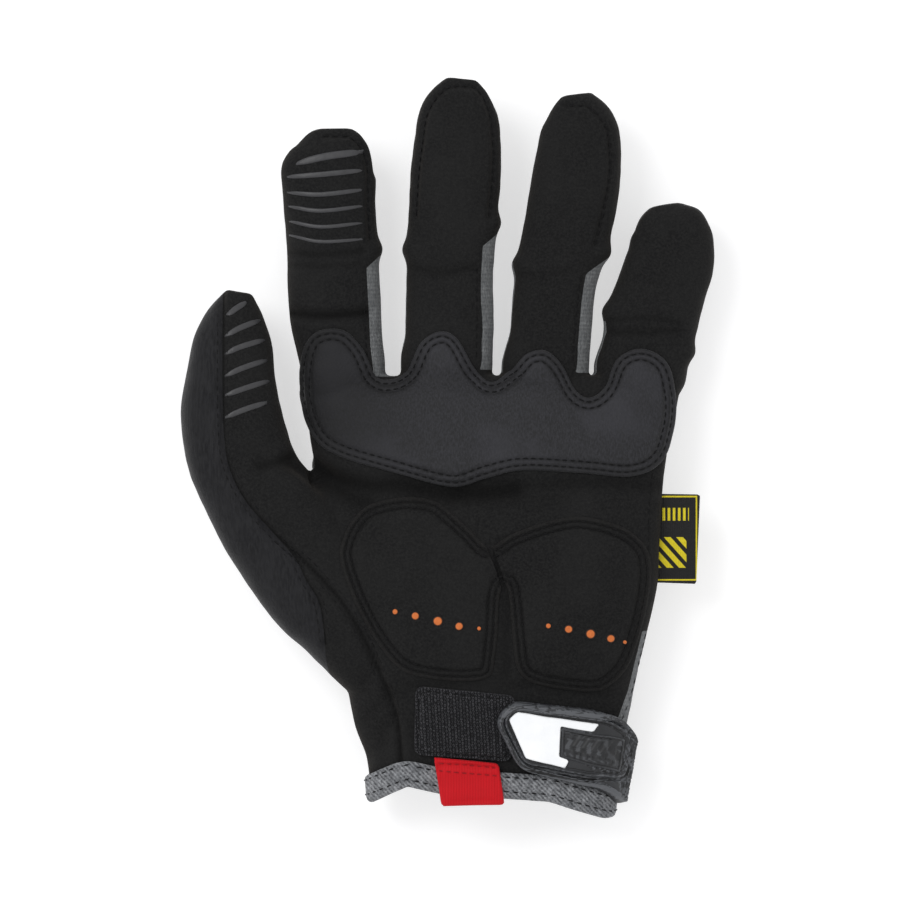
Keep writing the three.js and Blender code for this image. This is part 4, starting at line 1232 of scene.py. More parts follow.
def loop_finish():
    """Black loop pile for the strap's hooks, with a painted highlight on the loop tops."""
    f = Finish("loop_pile", Sheen_Weight=0.3, Sheen_Roughness=0.6, Sheen_Tint=tone(120, 120, 125),
               Specular_IOR_Level=0.2)
    at = f.place()
    x, y, _ = f.parts(at)
    curl = f.noise(at, 0.5, 5.0, 0.75)
    across = (x + 0.06 * y) / (LOOP_PITCH / 2)
    u = across.rest(1.0)
    row = y / 1.2 + (across - u) * 0.5 + f.noise(at, 3.0, 2.0) * 0.9
    v = row.rest(1.0) - 0.5
    ring = ((u - 0.5) * (u - 0.5) * 5.0 + v * v * 3.6) ** 0.5
    loop = 1 - (ring - 0.55).size().step(0.1, 0.34)
    tops = f.noise(at, 0.6, 4.0, 0.7).step(0.42, 0.62)
    colour = f.mix(curl.step(0.35, 0.7), tone(7, 7, 8), tone(26, 26, 28))
    # Painted highlight on the loop tops.
    return f.surface(Base_Color=f.mix(loop * tops * 0.85, colour, tone(100, 100, 104)), Roughness=0.95,
                     Normal=f.bump(curl * 0.4 + loop, 0.6))


def binding_finish():
    """Grey folded edge tape of fuzzy twill."""
    f = Finish("binding", Sheen_Weight=0.15, Specular_IOR_Level=0.2)
    at = f.place()
    x, y, _ = f.parts(at)
    fuzz = f.noise(at, 1.1, 4.0, 0.75)
    soft = f.noise(at, 3.6, 4.0, 0.6)
    weave = (x + y).ribs(1.5) * 0.4 + fuzz.step(0.35, 0.65) * 0.6
    tops = f.mix(soft.step(0.3, 0.7), tone(132, 134, 138), tone(166, 168, 172))
    return f.surface(Base_Color=f.mix(weave, tone(52, 54, 57), tops), Roughness=0.8 + 0.12 * soft,
                     Normal=f.bump(weave + soft * 0.5, 0.3))


def rubber_finish(name, low, high, roughness):
    """Moulded rubber: even colour, a faint grain and dull rubbed spots."""
    f = Finish(name, Specular_IOR_Level=0.45)
    at = f.place()
    fine = f.noise(at, 0.5, 3.0)
    broad = f.noise(at, 11.0, 4.0, 0.6)
    colour = f.mix(broad.step(0.3, 0.72), low, high)
    return f.surface(Base_Color=colour, Roughness=roughness + 0.14 * broad,
                     Normal=f.bump(fine * 0.6 + broad * 0.3, 0.12))


def strap_finish():
    """The strap's rubber: painted shade in its groove and between its grip ribs, painted highlight on its
    ridges and rib crests.
    """
    f = Finish("strap_rubber", Specular_IOR_Level=0.35)
    at = f.place()
    fine = f.noise(at, 0.5, 3.0)
    broad = f.noise(at, 11.0, 4.0, 0.6)
    shade = f.attribute("shade")
    face = f.mix(broad.step(0.3, 0.72), tone(40, 41, 43), tone(51, 52, 55))
    # Painted shade in the groove.
    groove_shade = f.mix(shade.step(0.05, 0.45), tone(10, 10, 11), face)
    # Painted highlight on the ridges.
    colour = f.mix(shade.step(0.5, 0.85), groove_shade, tone(86, 88, 92))
    return f.surface(Base_Color=colour, Roughness=0.42 + 0.16 * broad,
                     Normal=f.bump(fine * 0.6 + broad * 0.3, 0.12))


def dotted_rubber_finish():
    """Grey moulded rubber of the guards with fine rows of pin-holes on its flat faces."""
    f = Finish("guard_rubber", Specular_IOR_Level=0.45)
    at = f.place()
    x, y, _ = f.parts(at)
    row = y / 2.6
    u = (x / 2.6 + row.half_steps()).rest(1.0) - 0.5
    v = row.rest(1.0) - 0.5
    hole = (1 - (u * u + v * v).step(0.018, 0.045)) * f.attribute("dots")
    broad = f.noise(at, 12.0, 4.0, 0.6)
    fine = f.noise(at, 0.5, 3.0)
    body = f.mix(broad.step(0.3, 0.7), tone(90, 93, 92), tone(108, 111, 110))
    colour = f.mix(hole, f.mix(f.attribute("low"), body, tone(60, 60, 59)), tone(28, 28, 28))
    return f.surface(Base_Color=colour, Roughness=0.52 + 0.2 * broad,
                     Normal=f.bump(fine * 0.15 - hole, 0.4))


def ribbon_finish():
    """Red satin pull ribbon with very fine ribs along it."""
    f = Finish("pull_ribbon", Sheen_Weight=0.05, Specular_IOR_Level=0.15)
    at = f.place()
    x, _, _ = f.parts(at)
    rib = x.ribs(0.9)
    soft = f.noise(at, 3.0, 4.0, 0.6)
    fine = f.noise(at, 0.4, 3.0, 0.6)
    red = f.mix(soft, tone(186, 12, 24), tone(206, 18, 30))
    return f.surface(Base_Color=f.mix(rib * 0.25 + 0.35 * fine, red, tone(160, 8, 18)),
                     Roughness=0.5 + 0.2 * soft, Normal=f.bump(rib * 0.6 + fine * 0.5, 0.14))


def reflector_finish():
    """White moulded plate with a soft shine and faint handling marks."""
    f = Finish("reflector", Specular_IOR_Level=0.5, Coat_Roughness=0.25)
    at = f.place()
    broad = f.noise(at, 6.0, 4.0, 0.6)
    fine = f.noise(at, 0.4, 3.0)
    colour = f.mix(broad.step(0.3, 0.8), tone(246, 248, 251), tone(253, 254, 255))
    return f.surface(Base_Color=colour, Roughness=0.34 + 0.2 * broad, Coat_Weight=0.3,
                     Normal=f.bump(fine, 0.05))


def tag_finish(name, width, length, turned):
    """A woven tag: black ground, a thin yellow frame and plain yellow blocks and slanted bars."""
    f = Finish(name, Sheen_Weight=0.1, Specular_IOR_Level=0.25)
    at = f.place()
    x, y, _ = f.parts(at)
    weft = y.ribs(0.42)
    warp = x.ribs(0.6)
    soft = f.noise(at, 1.2, 4.0, 0.6)
    u, v = f.attribute("tag_across"), f.attribute("tag_along")
    from_edge = (width / 2 - u.size()).least(length / 2 - v.size())
    line = from_edge.step(0.6, 0.75) * (1 - from_edge.step(1.1, 1.25))
    if turned:
        u, v, width, length = v, u, length, width
    # Slanted bars fill a wide block; a narrow column of short bars stands beside it.
    wide = 1 - (u + width * 0.16).size().step(width * 0.17, width * 0.17 + 0.15)
    tall = 1 - v.size().step(length * 0.33, length * 0.33 + 0.15)
    slant = ((v + u * 0.9) / (length * 0.16)).rest(1.0)
    bars = wide * tall * (slant.step(0.3, 0.34) * (1 - slant.step(0.86, 0.9)))
    column = 1 - (u - width * 0.27).size().step(width * 0.07, width * 0.07 + 0.12)
    small = (v / 1.7).rest(1.0)
    short = column * small.step(0.28, 0.36) * (1 - small.step(0.8, 0.88))
    ticks = short * (1 - v.size().step(length * 0.36, length * 0.37))
    lit = line.most(bars).most(ticks)
    yellow = f.mix(soft, tone(222, 200, 24), tone(244, 228, 52))
    black = f.mix(soft, tone(18, 18, 20), tone(34, 34, 36))
    colour = f.mix((weft * warp) * 0.2, f.mix(lit, black, yellow), tone(50, 46, 26))
    return f.surface(Base_Color=colour, Roughness=0.6 + 0.2 * soft,
                     Normal=f.bump(weft + warp * 0.6 + lit * 0.5, 0.16))


def thread_finish(name, low, high, shine):
    """Twisted polyester thread."""
    f = Finish(name, Specular_IOR_Level=shine)
    at = f.place()
    x, y, z = f.parts(at)
    twist = (x + y + z).ribs(0.5)
    soft = f.noise(at, 5.0, 3.0)
    return f.surface(Base_Color=f.mix(twist * 0.6 + soft * 0.4, low, high), Roughness=0.5 + 0.2 * soft,
                     Normal=f.bump(twist, 0.12))


def grip_finish():
    """Printed silicone stripes, dark with a dull shine."""
    f = Finish("grip_print", Specular_IOR_Level=0.5)
    at = f.place()
    soft = f.noise(at, 2.2, 4.0, 0.6)
    return f.surface(Base_Color=f.mix(soft, tone(36, 36, 38), tone(58, 58, 61)),
                     Roughness=0.36 + 0.22 * soft, Normal=f.bump(soft, 0.2))


def foam_finish():
    """Orange plugs, dark round their rims: the black edge of the hole and painted shade where the plug sits
    down in it.
    """
    f = Finish("orange_dot", Specular_IOR_Level=0.3)
    at = f.place()
    soft = f.noise(at, 0.6, 4.0, 0.6)
    orange = f.mix(soft, tone(176, 84, 36), tone(222, 128, 66))
    return f.surface(Base_Color=f.mix(f.attribute("dark"), orange, tone(16, 14, 13)),
                     Roughness=0.6 + 0.25 * soft, Normal=f.bump(soft, 0.2))


def floor_finish():
    """A pale light table, which gives a white background with a faint shadow."""
    f = Finish("pale_floor", Specular_IOR_Level=0.2, Emission_Color=(1, 1, 1, 1), Emission_Strength=0.55)
    at = f.place()
    soft = f.noise(at, 160.0, 2.0)
    return f.surface(Base_Color=f.mix(soft, tone(200, 200, 201), tone(206, 206, 207)),
                     Roughness=0.8 + 0.1 * soft)


def with_values(made, name, values):
    """Stores a number for each vertex, which the finish reads."""
    stored = made.data.attributes.new(name, "FLOAT", "POINT")
    stored.data.foreach_set("value", np.ascontiguousarray(values, dtype=np.float32))


def glove_millimetres(made):
    """The object's vertices back in the glove's own millimetres."""
    return (coordinates(made.data) - np.array(SHIFT)) / MM


# The pieces

def cloth_panels(skin, finish):
    """The sewn panels of the skin, each standing for its solid: name, finish, slot, length and width."""
    looks = {
        "palm_panel": ("palm_suede", "suede", "suede", (245, 165)),
        "back_panel": ("back_knit", "mesh", "mesh", (245, 150)),
        "index_tip_cap": ("index_tip_suede", "suede", "suede", (60, 50)),
        "thumb_panel": ("thumb_outer_cloth", "stretch", "stretch", (170, 75)),
        "side_strip": ("side_stripe_cloth", "gusset", "gusset", (45, 16)),
        "gusset_index_middle": ("gusset_cloth_index_middle", "gusset", "gusset", (50, 30)),
        "gusset_middle_ring": ("gusset_cloth_middle_ring", "gusset", "gusset", (50, 30)),
        "gusset_ring_little": ("gusset_cloth_ring_little", "gusset", "gusset", (50, 30)),
    }
    for node, bm in sewn_panels(skin).items():
        name, look, slot, size = looks[node]
        made = finished(bm, name, finish[look], slot, [node])
        n = normals(made.data)
        # Painted sheen: a mask of how far the cloth turns away from the top, where it is drawn paler and
        # browner.
        with_values(made, "nap_sheen", ramp(1 - np.abs(n[:, 2]), 0.22, 0.85))
        if look in ("suede", "stretch"):
            # Painted shade: folds and sunk seams on the palm side, darkened in the colour.
            on_palm = ramp(n[:, 2], 0.0, 0.4)
            with_values(made, "fold", fold_shade_depth(glove_millimetres(made)[:, :2]) * on_palm)
        declare_cloth(size)


LINING_DEPTH = 64.0
LINING_INSET = 1.7


def lining(finish):
    """The inner wall of the cuff, as far in as it shows."""
    mesh = fused_hand(2.2)
    p, n = coordinates(mesh), normals(mesh)
    move_to(mesh, p - n * LINING_INSET)
    bm = bmesh.new()
    bm.from_mesh(mesh)
    cut_along(bm, hem_field)
    faces = bm.faces[:]
    centres = np.array([f.calc_center_median() for f in faces])
    out = (hem_field(centres) < 0) | (centres[:, 1] > LINING_DEPTH)
    bmesh.ops.delete(bm, geom=[f for f, o in zip(faces, out) if o], context="FACES")
    bmesh.ops.reverse_faces(bm, faces=bm.faces)
    made = finished(bm, "cuff_lining", finish["mesh"], "mesh")
    declare_cloth((270, 66))


def palm_point(turn, y):
    """The palm's skin at an angle round it and a place along it."""
    rows = PALM_ROWS
    left, right, depth, base = [np.interp(y, rows[:, 0] * PALM["length"], rows[:, k]) for k in (1, 2, 3, 4)]
    half_depth = depth * PALM["depth"] / 2
    x = (left + right) * PALM["width"] / 2 + (right - left) * PALM["width"] / 2 * boxy(np.cos(turn))
    z = base * BACK_HEIGHT + half_depth + half_depth * boxy(np.sin(turn))
    return np.stack([x, y, z], axis=-1)


def hem_line(lift_by=0.0):
    """Points round the cuff's edge."""
    turn = np.linspace(0, 2 * math.pi, 721)[:-1]
    edge = shares(HEM)
    y = np.zeros(len(turn))
    for _ in range(6):
        y = np.interp(palm_point(turn, y)[:, 0], edge[:, 0], edge[:, 1])
    line = palm_point(turn, y + lift_by)
    return even(np.vstack([line, line[:1]]), 1.5, closed=True)


# The binding's section: how far in from the edge, and how far out from the skin.
BINDING_SECTION = [(7.6, 0.1), (7.7, 0.9), (7.2, 1.45), (5.6, 1.55), (3.5, 1.5), (1.2, 1.6),
                   (-0.4, 1.35), (-1.2, 0.5), (-1.3, -0.7), (-0.8, -1.9), (0.3, -2.6), (2.5, -2.75),
                   (5.5, -2.7), (7.0, -2.6), (7.4, -2.2), (7.4, -1.7), (4.0, -1.6), (4.0, -0.2)]
# Its rows of thread: how far in from the edge, and how far out from the skin.
BINDING_ROWS = (1.4, 6.2)
BINDING_FACE = 1.6


def binding_frames():
    """The cuff's edge as a line, with its direction, the way up the cuff and the way out of it."""
    line, inner = hem_line(), hem_line(4.0)
    way = np.roll(line, -1, 0) - np.roll(line, 1, 0)
    way /= np.linalg.norm(way, axis=1)[:, None]
    near = inner[np.argmin(np.linalg.norm(line[:, None] - inner[None], axis=2), axis=1)]
    up = near - line
    up -= way * (up * way).sum(1)[:, None]
    up /= np.linalg.norm(up, axis=1)[:, None]
    out = np.cross(up, way)
    middle = line.mean(0)
    out *= np.sign(((line - middle) * out).sum(1).mean())
    return line, way, up, out


def binding(finish):
    """Folded tape round the cuff, slightly puckered between its stitches."""
    line, _, up, out = binding_frames()
    wobble = lump_field(line, 21.0, 11) * 0.35 + lump_field(line, 7.0, 12) * 0.18
    rings = []
    for p, u, o, w in zip(line, up, out, wobble):
        rings.append([p + u * (a + 0.5 * w) + o * (b + (0.35 * w if b > 0 else 0))
                      for a, b in BINDING_SECTION])
    bm = loft(rings, closed=True)
    made = finished(bm, "cuff_binding_tape", finish["binding"], "binding", ["cuff_binding"])
    fold = made.modifiers.new("round", "SUBSURF")
    fold.levels = fold.render_levels = 1
    section = np.array(BINDING_SECTION)
    half_round = np.linalg.norm(np.roll(section, -1, 0) - section, axis=1).sum() / 2
    run = np.linalg.norm(np.roll(line, -1, 0) - line, axis=1).sum()
    half_round * MM
    run * MM
    rows = []
    for inset in BINDING_ROWS:
        path = line[::2] + up[::2] * inset + out[::2] * BINDING_FACE
        rows.append(beads(path, np.roll(path, -1, 0) - path, out[::2], 1.9, 0.5))
    finished(joined(rows), "binding_thread", finish["dark_thread"], "binding")


# The stitched furrows of a pad, in millimetres from its rim.
FURROWS = (1.6, 3.6)


def pad_height(outline, rise, crown, edge, seed):
    """A sewn pad: rolled edge, two stitched furrows and a soft crown."""
    def height(xy):
        d = inward(xy, outline)
        z = rise * quarter(d, edge) + crown * (1 - np.exp(-(d / 9.0) ** 2))
        z = z - 0.55 * bump(d - FURROWS[0], 1.3) - 0.6 * bump(d - FURROWS[1], 1.5)
        flat = on_plane(xy)
        z = z + 0.32 * ramp(d, 2, 8) * lump_field(flat, 17.0, seed)
        return z + 0.12 * lump_field(flat, 6.0, seed + 1)
    return height


def sewn_pad(name, node, outline, rim_line, height, ground, finish, look):
    """One pad of cloth, with painted shade along its rolled rim and in its furrows, and a painted sheen at
    the rim of a suede pad.
    """
    bm = patch(outline, height, ground, 1.1, (0.12, 0.4, 0.9, FURROWS[0], 2.6, FURROWS[1], 4.6), -1.0)
    made = finished(bm, name, finish[look], "reinforcement", [node])
    from_rim = signed(glove_millimetres(made)[:, :2], rim_line)
    rim = 1 - ramp(from_rim, 0.2, 2.4)
    furrows = np.maximum(bump(from_rim - FURROWS[0], 0.9), bump(from_rim - FURROWS[1], 0.9))
    # Painted shade along the rolled rim, painted sheen at the rim of suede, painted shade in the furrows.
    with_values(made, "rolled_rim_shade", rim)
    with_values(made, "nap_sheen", 0.3 * rim)
    with_values(made, "fold", furrows * 0.9)


def pad_thread(name, rim_line, height, ground, finish):
    """The thread in a pad's furrows."""
    rows = [inset_path(rim_line, furrow) for furrow in FURROWS]
    thread = stitches(rows, ground, lambda xy: height(xy) + 0.12, 2.6, 1.8, 0.5)
    finished(thread, name, finish["dark_thread"], "binding")


def heel_side(quilt, side):
    """The quilt's outline on one side of the line from its notch to the top of its slot."""
    line = shares(HEEL_PARTING)
    parting = np.interp(quilt[:, 1], line[::-1, 1], line[::-1, 0])
    return quilt[(quilt[:, 0] - parting) * side > 0.1]


def pads(ground, finish):
    """The pad under the fingers and the quilted heel, whose height is handed back."""
    knuckles = smooth_path(shares(KNUCKLE_PAD), 1.0, closed=True)
    height = pad_height(knuckles, 1.6, 0.9, 1.0, 21)
    sewn_pad("knuckle_pad_cloth", "knuckle_pad", knuckles, knuckles, height, ground, finish, "reinforcement")
    pad_thread("knuckle_pad_thread", knuckles, height, ground, finish)
    quilt = smooth_path(shares(HEEL_QUILT), 1.0, closed=True)
    height = pad_height(quilt, 1.1, 1.3, 1.6, 31)
    for node, side in (("heel_pad_thumb_side", -1), ("heel_pad_little_side", 1)):
        sewn_pad(node + "_cloth", node, heel_side(quilt, side), quilt, height, ground, finish, "suede")
    pad_thread("heel_pad_thread", quilt, height, ground, finish)
    return height


# Corners of the flat pieces, and the ends of the tab's upper row of thread, as shares of the palm.
LOOP = [(-0.206, 0.271), (0.061, 0.248), (0.05, 0.091), (-0.21, 0.108)]
STRAP = [(0.004, 0.194), (0.044, 0.237), (0.268, 0.216), (0.329, 0.197), (0.36, 0.167), (0.389, 0.141),
         (0.444, 0.131), (0.444, 0.031), (0.394, 0.011), (0.354, -0.015), (0.284, 0.027),
         (0.069, 0.073)]
STRAP_WINDOW = [(0.034, 0.197), (0.061, 0.223), (0.279, 0.194), (0.347, 0.151), (0.335, 0.057),
                (0.264, 0.066), (0.084, 0.097)]
REFLECTOR = [(0.043, 0.198), (0.065, 0.217), (0.273, 0.188), (0.259, 0.168), (0.176, 0.183),
             (0.172, 0.108), (0.198, 0.098), (0.188, 0.08), (0.086, 0.103)]
BADGE = [(0.18, 0.179), (0.339, 0.144), (0.326, 0.065), (0.177, 0.107)]
TAB = [(-0.155, 0.104), (0.016, 0.089), (0.032, -0.01), (-0.135, -0.013)]
TAB_THREAD = [(-0.145, 0.092), (0.014, 0.079)]
TAG = [(0.35, 0.726), (0.555, 0.723), (0.545, 0.511), (0.35, 0.517)]
CUFF_PANEL = [(-0.29, 0.06), (-0.31, 0.13), (-0.25, 0.215), (0.1, 0.25), (0.33, 0.205), (0.385, 0.14),
              (0.385, 0.04), (0.3, 0.016), (0.22, 0.036), (0.15, 0.056), (0.045, 0.062),
              (-0.132, 0.073), (-0.229, 0.092)]
LABEL = [(-0.17, 0.1), (-0.17, 0.2), (0.17, 0.2), (0.17, 0.1)]
# Heights over the skin, in millimetres.
LOOP_TOP, STRAP_TOP, STRAP_RIM = 1.8, 4.4, 5.2
PLATE_FOOT = STRAP_TOP - 0.4
# Distances in millimetres: from one column of loops or row of thread to the next, and through the tag.
LOOP_PITCH = 2.07
TAB_ROWS_APART = 2.6
TAG_THICKNESS = 1.4
# Where the strap's grip ribs begin, in millimetres across the glove.
GRIP_START = (40.6, 42.0)


class SideWrap(Ground):
    """The ground of one side, carried on round the little-finger edge."""
    REACH = 13.0
    RADIUS = 12.5

    def __init__(self, ground, tree):
        self.flat = ground
        self.side = ground.side
        self.tree = tree

    def normal(self, xy):
        share, out = self.turned(xy)
        n = self.flat.normal(xy) * (1 - share) + out * share
        return n / np.linalg.norm(n, axis=1)[:, None]

    def turned(self, xy):
        """How far the ground is taken over by the turn round the edge, and the way out of it."""
        _, right = palm_edges(xy[:, 1])
        past = np.maximum(xy[:, 0] - right + self.REACH, 0)
        angle = past / self.RADIUS
        out = np.stack([np.sin(angle), np.zeros(len(xy)), np.cos(angle) * self.side], axis=1)
        return ramp(past, 0.0, 8.0)[:, None], out

    def place(self, points):
        placed = self.flat.place(points)
        xy = points[:, :2]
        _, right = palm_edges(xy[:, 1])
        (share, out), level = self.turned(xy), seam_height(xy[:, 1])
        for k in np.nonzero(xy[:, 0] > right - self.REACH)[0]:
            axis = Vector((right[k] - self.REACH, xy[k, 1], level[k]))
            way = Vector(out[k])
            hit = self.tree.ray_cast(axis + way * 60, -way)[0]
            if hit:
                placed[k] += share[k] * (np.array(hit + way * points[k, 2]) - placed[k])
        placed[:, 2] = np.maximum(placed[:, 2], 0.0)
        return placed


def loop_patch(ground, finish):
    """The pile in upright columns of loops, sewn down round its rim."""
    outline = rounded(shares(LOOP), 3.0)

    def height(xy):
        d = inward(xy, outline)
        column = np.cos(2 * math.pi * (xy[:, 0] + 0.06 * xy[:, 1]) / LOOP_PITCH)
        loops = np.cos(2 * math.pi * (xy[:, 1] / 1.15 + 0.4 * np.sin(xy[:, 0] * 1.7)))
        fuzz = lump_field(on_plane(xy), 2.6, 42) * 0.25 + 0.42 * column
        fuzz += 0.22 * loops * ramp(column, -0.4, 0.6)
        sewn_down = 0.9 * (1 - ramp(d, 1.2, 2.6)) * ramp(d, 0.2, 1.0)
        return LOOP_TOP * quarter(d, 0.9) - sewn_down + fuzz * ramp(d, 1.5, 3.0)

    bm = patch(outline, height, ground, 0.45, (0.15, 0.6, 1.4), -0.8)
    made = finished(bm, "loop_pile_patch", finish["loop"], "loop", ["loop_patch"])
    thread = stitches([inset_path(outline, 1.4)], ground, lambda xy: height(xy) + 0.14, 2.8, 1.9, 0.45)
    finished(thread, "loop_pile_thread", finish["dark_thread"], "binding")


def strap(wrap, finish):
    """The moulded strap end: a broad outer ridge, a groove, a thin ridge round a window, and grip ribs."""
    outline = rounded(shares(STRAP), 5.0)
    window = rounded(shares(STRAP_WINDOW), 3.0)
    badge = rounded(shares(BADGE), 1.0)

    def grip(xy):
        """1 where the strap has its ribs, past the badge."""
        off_badge = ramp(-signed(xy, badge), 0.6, 1.2)
        return ramp(xy[:, 0], *GRIP_START) * off_badge * ramp(signed(xy, outline), 0.4, 1.0)

    def relief(xy):
        """How far a place rises or sinks from the strap's face, between -1 in the groove and 1 on a ridge."""
        d, w = signed(xy, outline), signed(xy, window)
        outer = ramp(d, 0.1, 0.45) * (1 - ramp(d, 1.8, 2.1))
        thin = 0.7 * ramp(w, -1.0, -0.75) * (1 - ramp(w, -0.2, 0.05))
        groove = ramp(w, -2.3, -2.05) * (1 - ramp(w, -1.3, -1.0)) * ramp(d, 1.8, 2.1)
        return (np.maximum(outer, thin) - groove) * (1 - 0.8 * grip(xy))

    def ribbed(xy):
        """The grip ribs, between -1 and 1."""
        return grip(xy) * np.cos(2 * math.pi * (xy[:, 0] - 0.45 * xy[:, 1]) / 1.9)

    def height(xy):
        d, w = signed(xy, outline), signed(xy, window)
        top = STRAP_TOP + (STRAP_RIM - STRAP_TOP) * relief(xy) - 0.3 * ramp(w, 0.0, 0.5) + 0.5 * ribbed(xy)
        return top * quarter(np.maximum(d, 0) + 0.25, 1.0)

    edges = (0.12, 0.45, 1.8, 2.1)
    inner = [(window, level) for level in (-2.3, -2.05, -1.3, -1.0, -0.75, -0.2, 0.05, 0.5)]
    bm = patch(outline, height, wrap, 0.55, edges, 0.3, inner)
    xy = points_of(cut_sheet(outline, 0.55, edges, inner))[:, :2]
    made = finished(bm, "strap_end", finish["strap_rubber"], "dark_guard", ["closure_strap"])
    # Painted shade and highlight: low in the groove and rib troughs, high on the ridges and rib crests.
    shade = np.zeros(len(made.data.vertices))
    shade[:len(xy)] = 0.5 + 0.5 * np.clip(relief(xy) + 0.9 * ribbed(xy), -1, 1)
    with_values(made, "shade", shade)
    keep_edges(made, 50)


def plain_bars(xy):
    """Slanted bars over a row of short blocks, raised on the badge: 1 on them, 0 between."""
    left, right = shares([BADGE[0], BADGE[1]]), shares([BADGE[3], BADGE[2]])
    across = (xy[:, 0] - left[0, 0]) / (left[1, 0] - left[0, 0])
    top = left[0, 1] + across * (left[1, 1] - left[0, 1])
    low = right[0, 1] + across * (right[1, 1] - right[0, 1])
    up = (xy[:, 1] - low) / (top - low)
    wide = ramp(across, 0.12, 0.15) * (1 - ramp(across, 0.83, 0.86))
    slant = np.mod((xy[:, 0] - 0.6 * xy[:, 1]) / 3.4, 1.0)
    short = np.mod(xy[:, 0] / 1.9, 1.0)
    upper_row = ramp(up, 0.4, 0.45) * (1 - ramp(up, 0.84, 0.89))
    lower_row = ramp(up, 0.13, 0.18) * (1 - ramp(up, 0.29, 0.34))
    bars = upper_row * ramp(slant, 0.2, 0.3) * (1 - ramp(slant, 0.7, 0.8))
    blocks = lower_row * ramp(short, 0.15, 0.3) * (1 - ramp(short, 0.7, 0.85))
    return wide * (bars + blocks)


def plate(name, node, corners, radius, low, top, look, slot, wrap, finish, spacing=0.7, relief=None):
    """A plate that stands in the strap's end, smooth or with a raised pattern."""
    outline = rounded(shares(corners), radius, 0.4)
    edges = (0.1, 0.3, 0.5, 0.8)

    def height(xy):
        d = inward(xy, outline)
        z = low + (top - low) * quarter(d + 0.1, 0.45)
        return z if relief is None else z - 0.3 * ramp(d, 0.7, 0.95) + 0.5 * relief(xy)

    bm = patch(outline, height, wrap, spacing, edges, low - 0.5)
    made = finished(bm, name, finish[look], slot, [node])
    if relief:
        xy = points_of(cut_sheet(outline, spacing, edges))[:, :2]
        # Painted shade between the raised bars, painted highlight on the bars and on the badge's rim.
        shade = np.zeros(len(made.data.vertices))
        shade[:len(xy)] = np.maximum(0.3 + 0.4 * relief(xy), 0.62 * (signed(xy, outline) < 0.6))
        with_values(made, "shade", shade)
    keep_edges(made, 50)


def pull_tab(ground, finish):
    """The red ribbon over the cuff's edge, with a bordered rim and two rows of thread."""
    outline = rounded(shares(TAB), 1.2)

    def height(xy):
        d = inward(xy, outline)
        x = xy[:, 0] + xy[:, 1] * 0.06
        soft = 0.25 * np.sin(x / 3.1) + 0.12 * np.sin(xy[:, 1] / 2.2 + 1)
        border = 0.3 * bump(d - 1.7, 1.1)
        ends = 0.7 * bump(xy[:, 1] - PALM["length"] * 0.085, 2.4)
        return 3.1 * quarter(d + 0.3, 0.9) + soft * ramp(d, 0.6, 1.4) - border - ends * ramp(d, 0.3, 1.2)

    bm = patch(outline, height, ground, 0.6, (0.12, 0.4, 0.9), 1.5)
    made = finished(bm, "pull_tab_ribbon", finish["ribbon"], "ribbon", ["pull_tab"])
    row = np.linspace(*shares(TAB_THREAD), 20)
    rows = [row, row - (0, TAB_ROWS_APART)]
    thread = stitches(rows, ground, lambda xy: height(xy) + 0.1, 2.4, 1.7, 0.45)
    finished(thread, "pull_tab_thread", finish["red_thread"], "ribbon")


def tag_grid(made, corners):
    """Stores how far each point lies across and along a tag, in millimetres from its middle."""
    at = glove_millimetres(made)
    middle = shares(corners).mean(0)
    with_values(made, "tag_across", at[:, 0] - middle[0])
    with_values(made, "tag_along", at[:, 1] - middle[1])


def side_tag(finish):
    """A flat tag that stands out of the little-finger seam, folded at its outer edge."""
    outline = rounded(shares(TAG), 0.8, 0.6)
    bm = cut_sheet(outline, 0.8, (0.15, 0.5))
    level = float(seam_height(PALM["length"] * 0.62))
    p = points_of(bm)
    d = inward(p[:, :2], outline)
    droop = 0.5 * ((p[:, 0] - 52) / 14) ** 2
    bend = 0.35 * np.sin(p[:, 1] / 6.0)
    p[:, 2] = level + bend - droop * 0.6 + TAG_THICKNESS / 2 * quarter(d + 0.12, 0.5)
    move_verts(bm, p)
    under = bm.copy()
    q = points_of(under)
    q[:, 2] -= TAG_THICKNESS * quarter(d + 0.12, 0.5)
    move_verts(under, q)
    bmesh.ops.reverse_faces(under, faces=under.faces)
    both = joined([bm, under])
    rims = [e for e in both.edges if e.is_boundary]
    bmesh.ops.bridge_loops(both, edges=rims)
    made = finished(both, "woven_side_tag", finish["tag"], "tag", ["side_tag"])
    tag_grid(made, TAG)


# Places as shares of the palm, and radius in millimetres.
DOTS = [(-0.257, 0.448, 0.85), (-0.204, 0.438, 1.2), (-0.145, 0.426, 1.4), (-0.089, 0.414, 1.2),
        (-0.036, 0.408, 0.65), (0.146, 0.415, 0.8), (0.2, 0.407, 1.2), (0.257, 0.396, 1.4),
        (0.309, 0.385, 1.2), (0.347, 0.376, 0.6)]


def orange_dots(ground, heel_height, finish):
    """Soft plugs that show through punched holes, each with the dark rim of its hole: the black edge of the
    hole and painted shade where the plug sits down in it.
    """
    dots, rims = [], []
    for across, along, radius in DOTS:
        bm = bmesh.new()
        bmesh.ops.create_uvsphere(bm, u_segments=20, v_segments=14, radius=1)
        centre = shares([(across, along)])
        ball = points_of(bm)
        # Dark rim: the black edge of the punched hole, partly painted shade inside it.
        rims.append(ramp(np.linalg.norm(ball[:, :2], axis=1), 0.6, 0.82))
        p = ball * (radius * 1.3, radius * 1.3, 0.6) + (*centre[0], heel_height(centre)[0] - 0.05)
        move_verts(bm, ground.place(p))
        dots.append(bm)
    made = finished(joined(dots), "grip_dots", finish["foam"], "reinforcement")
    with_values(made, "dark", np.concatenate(rims))


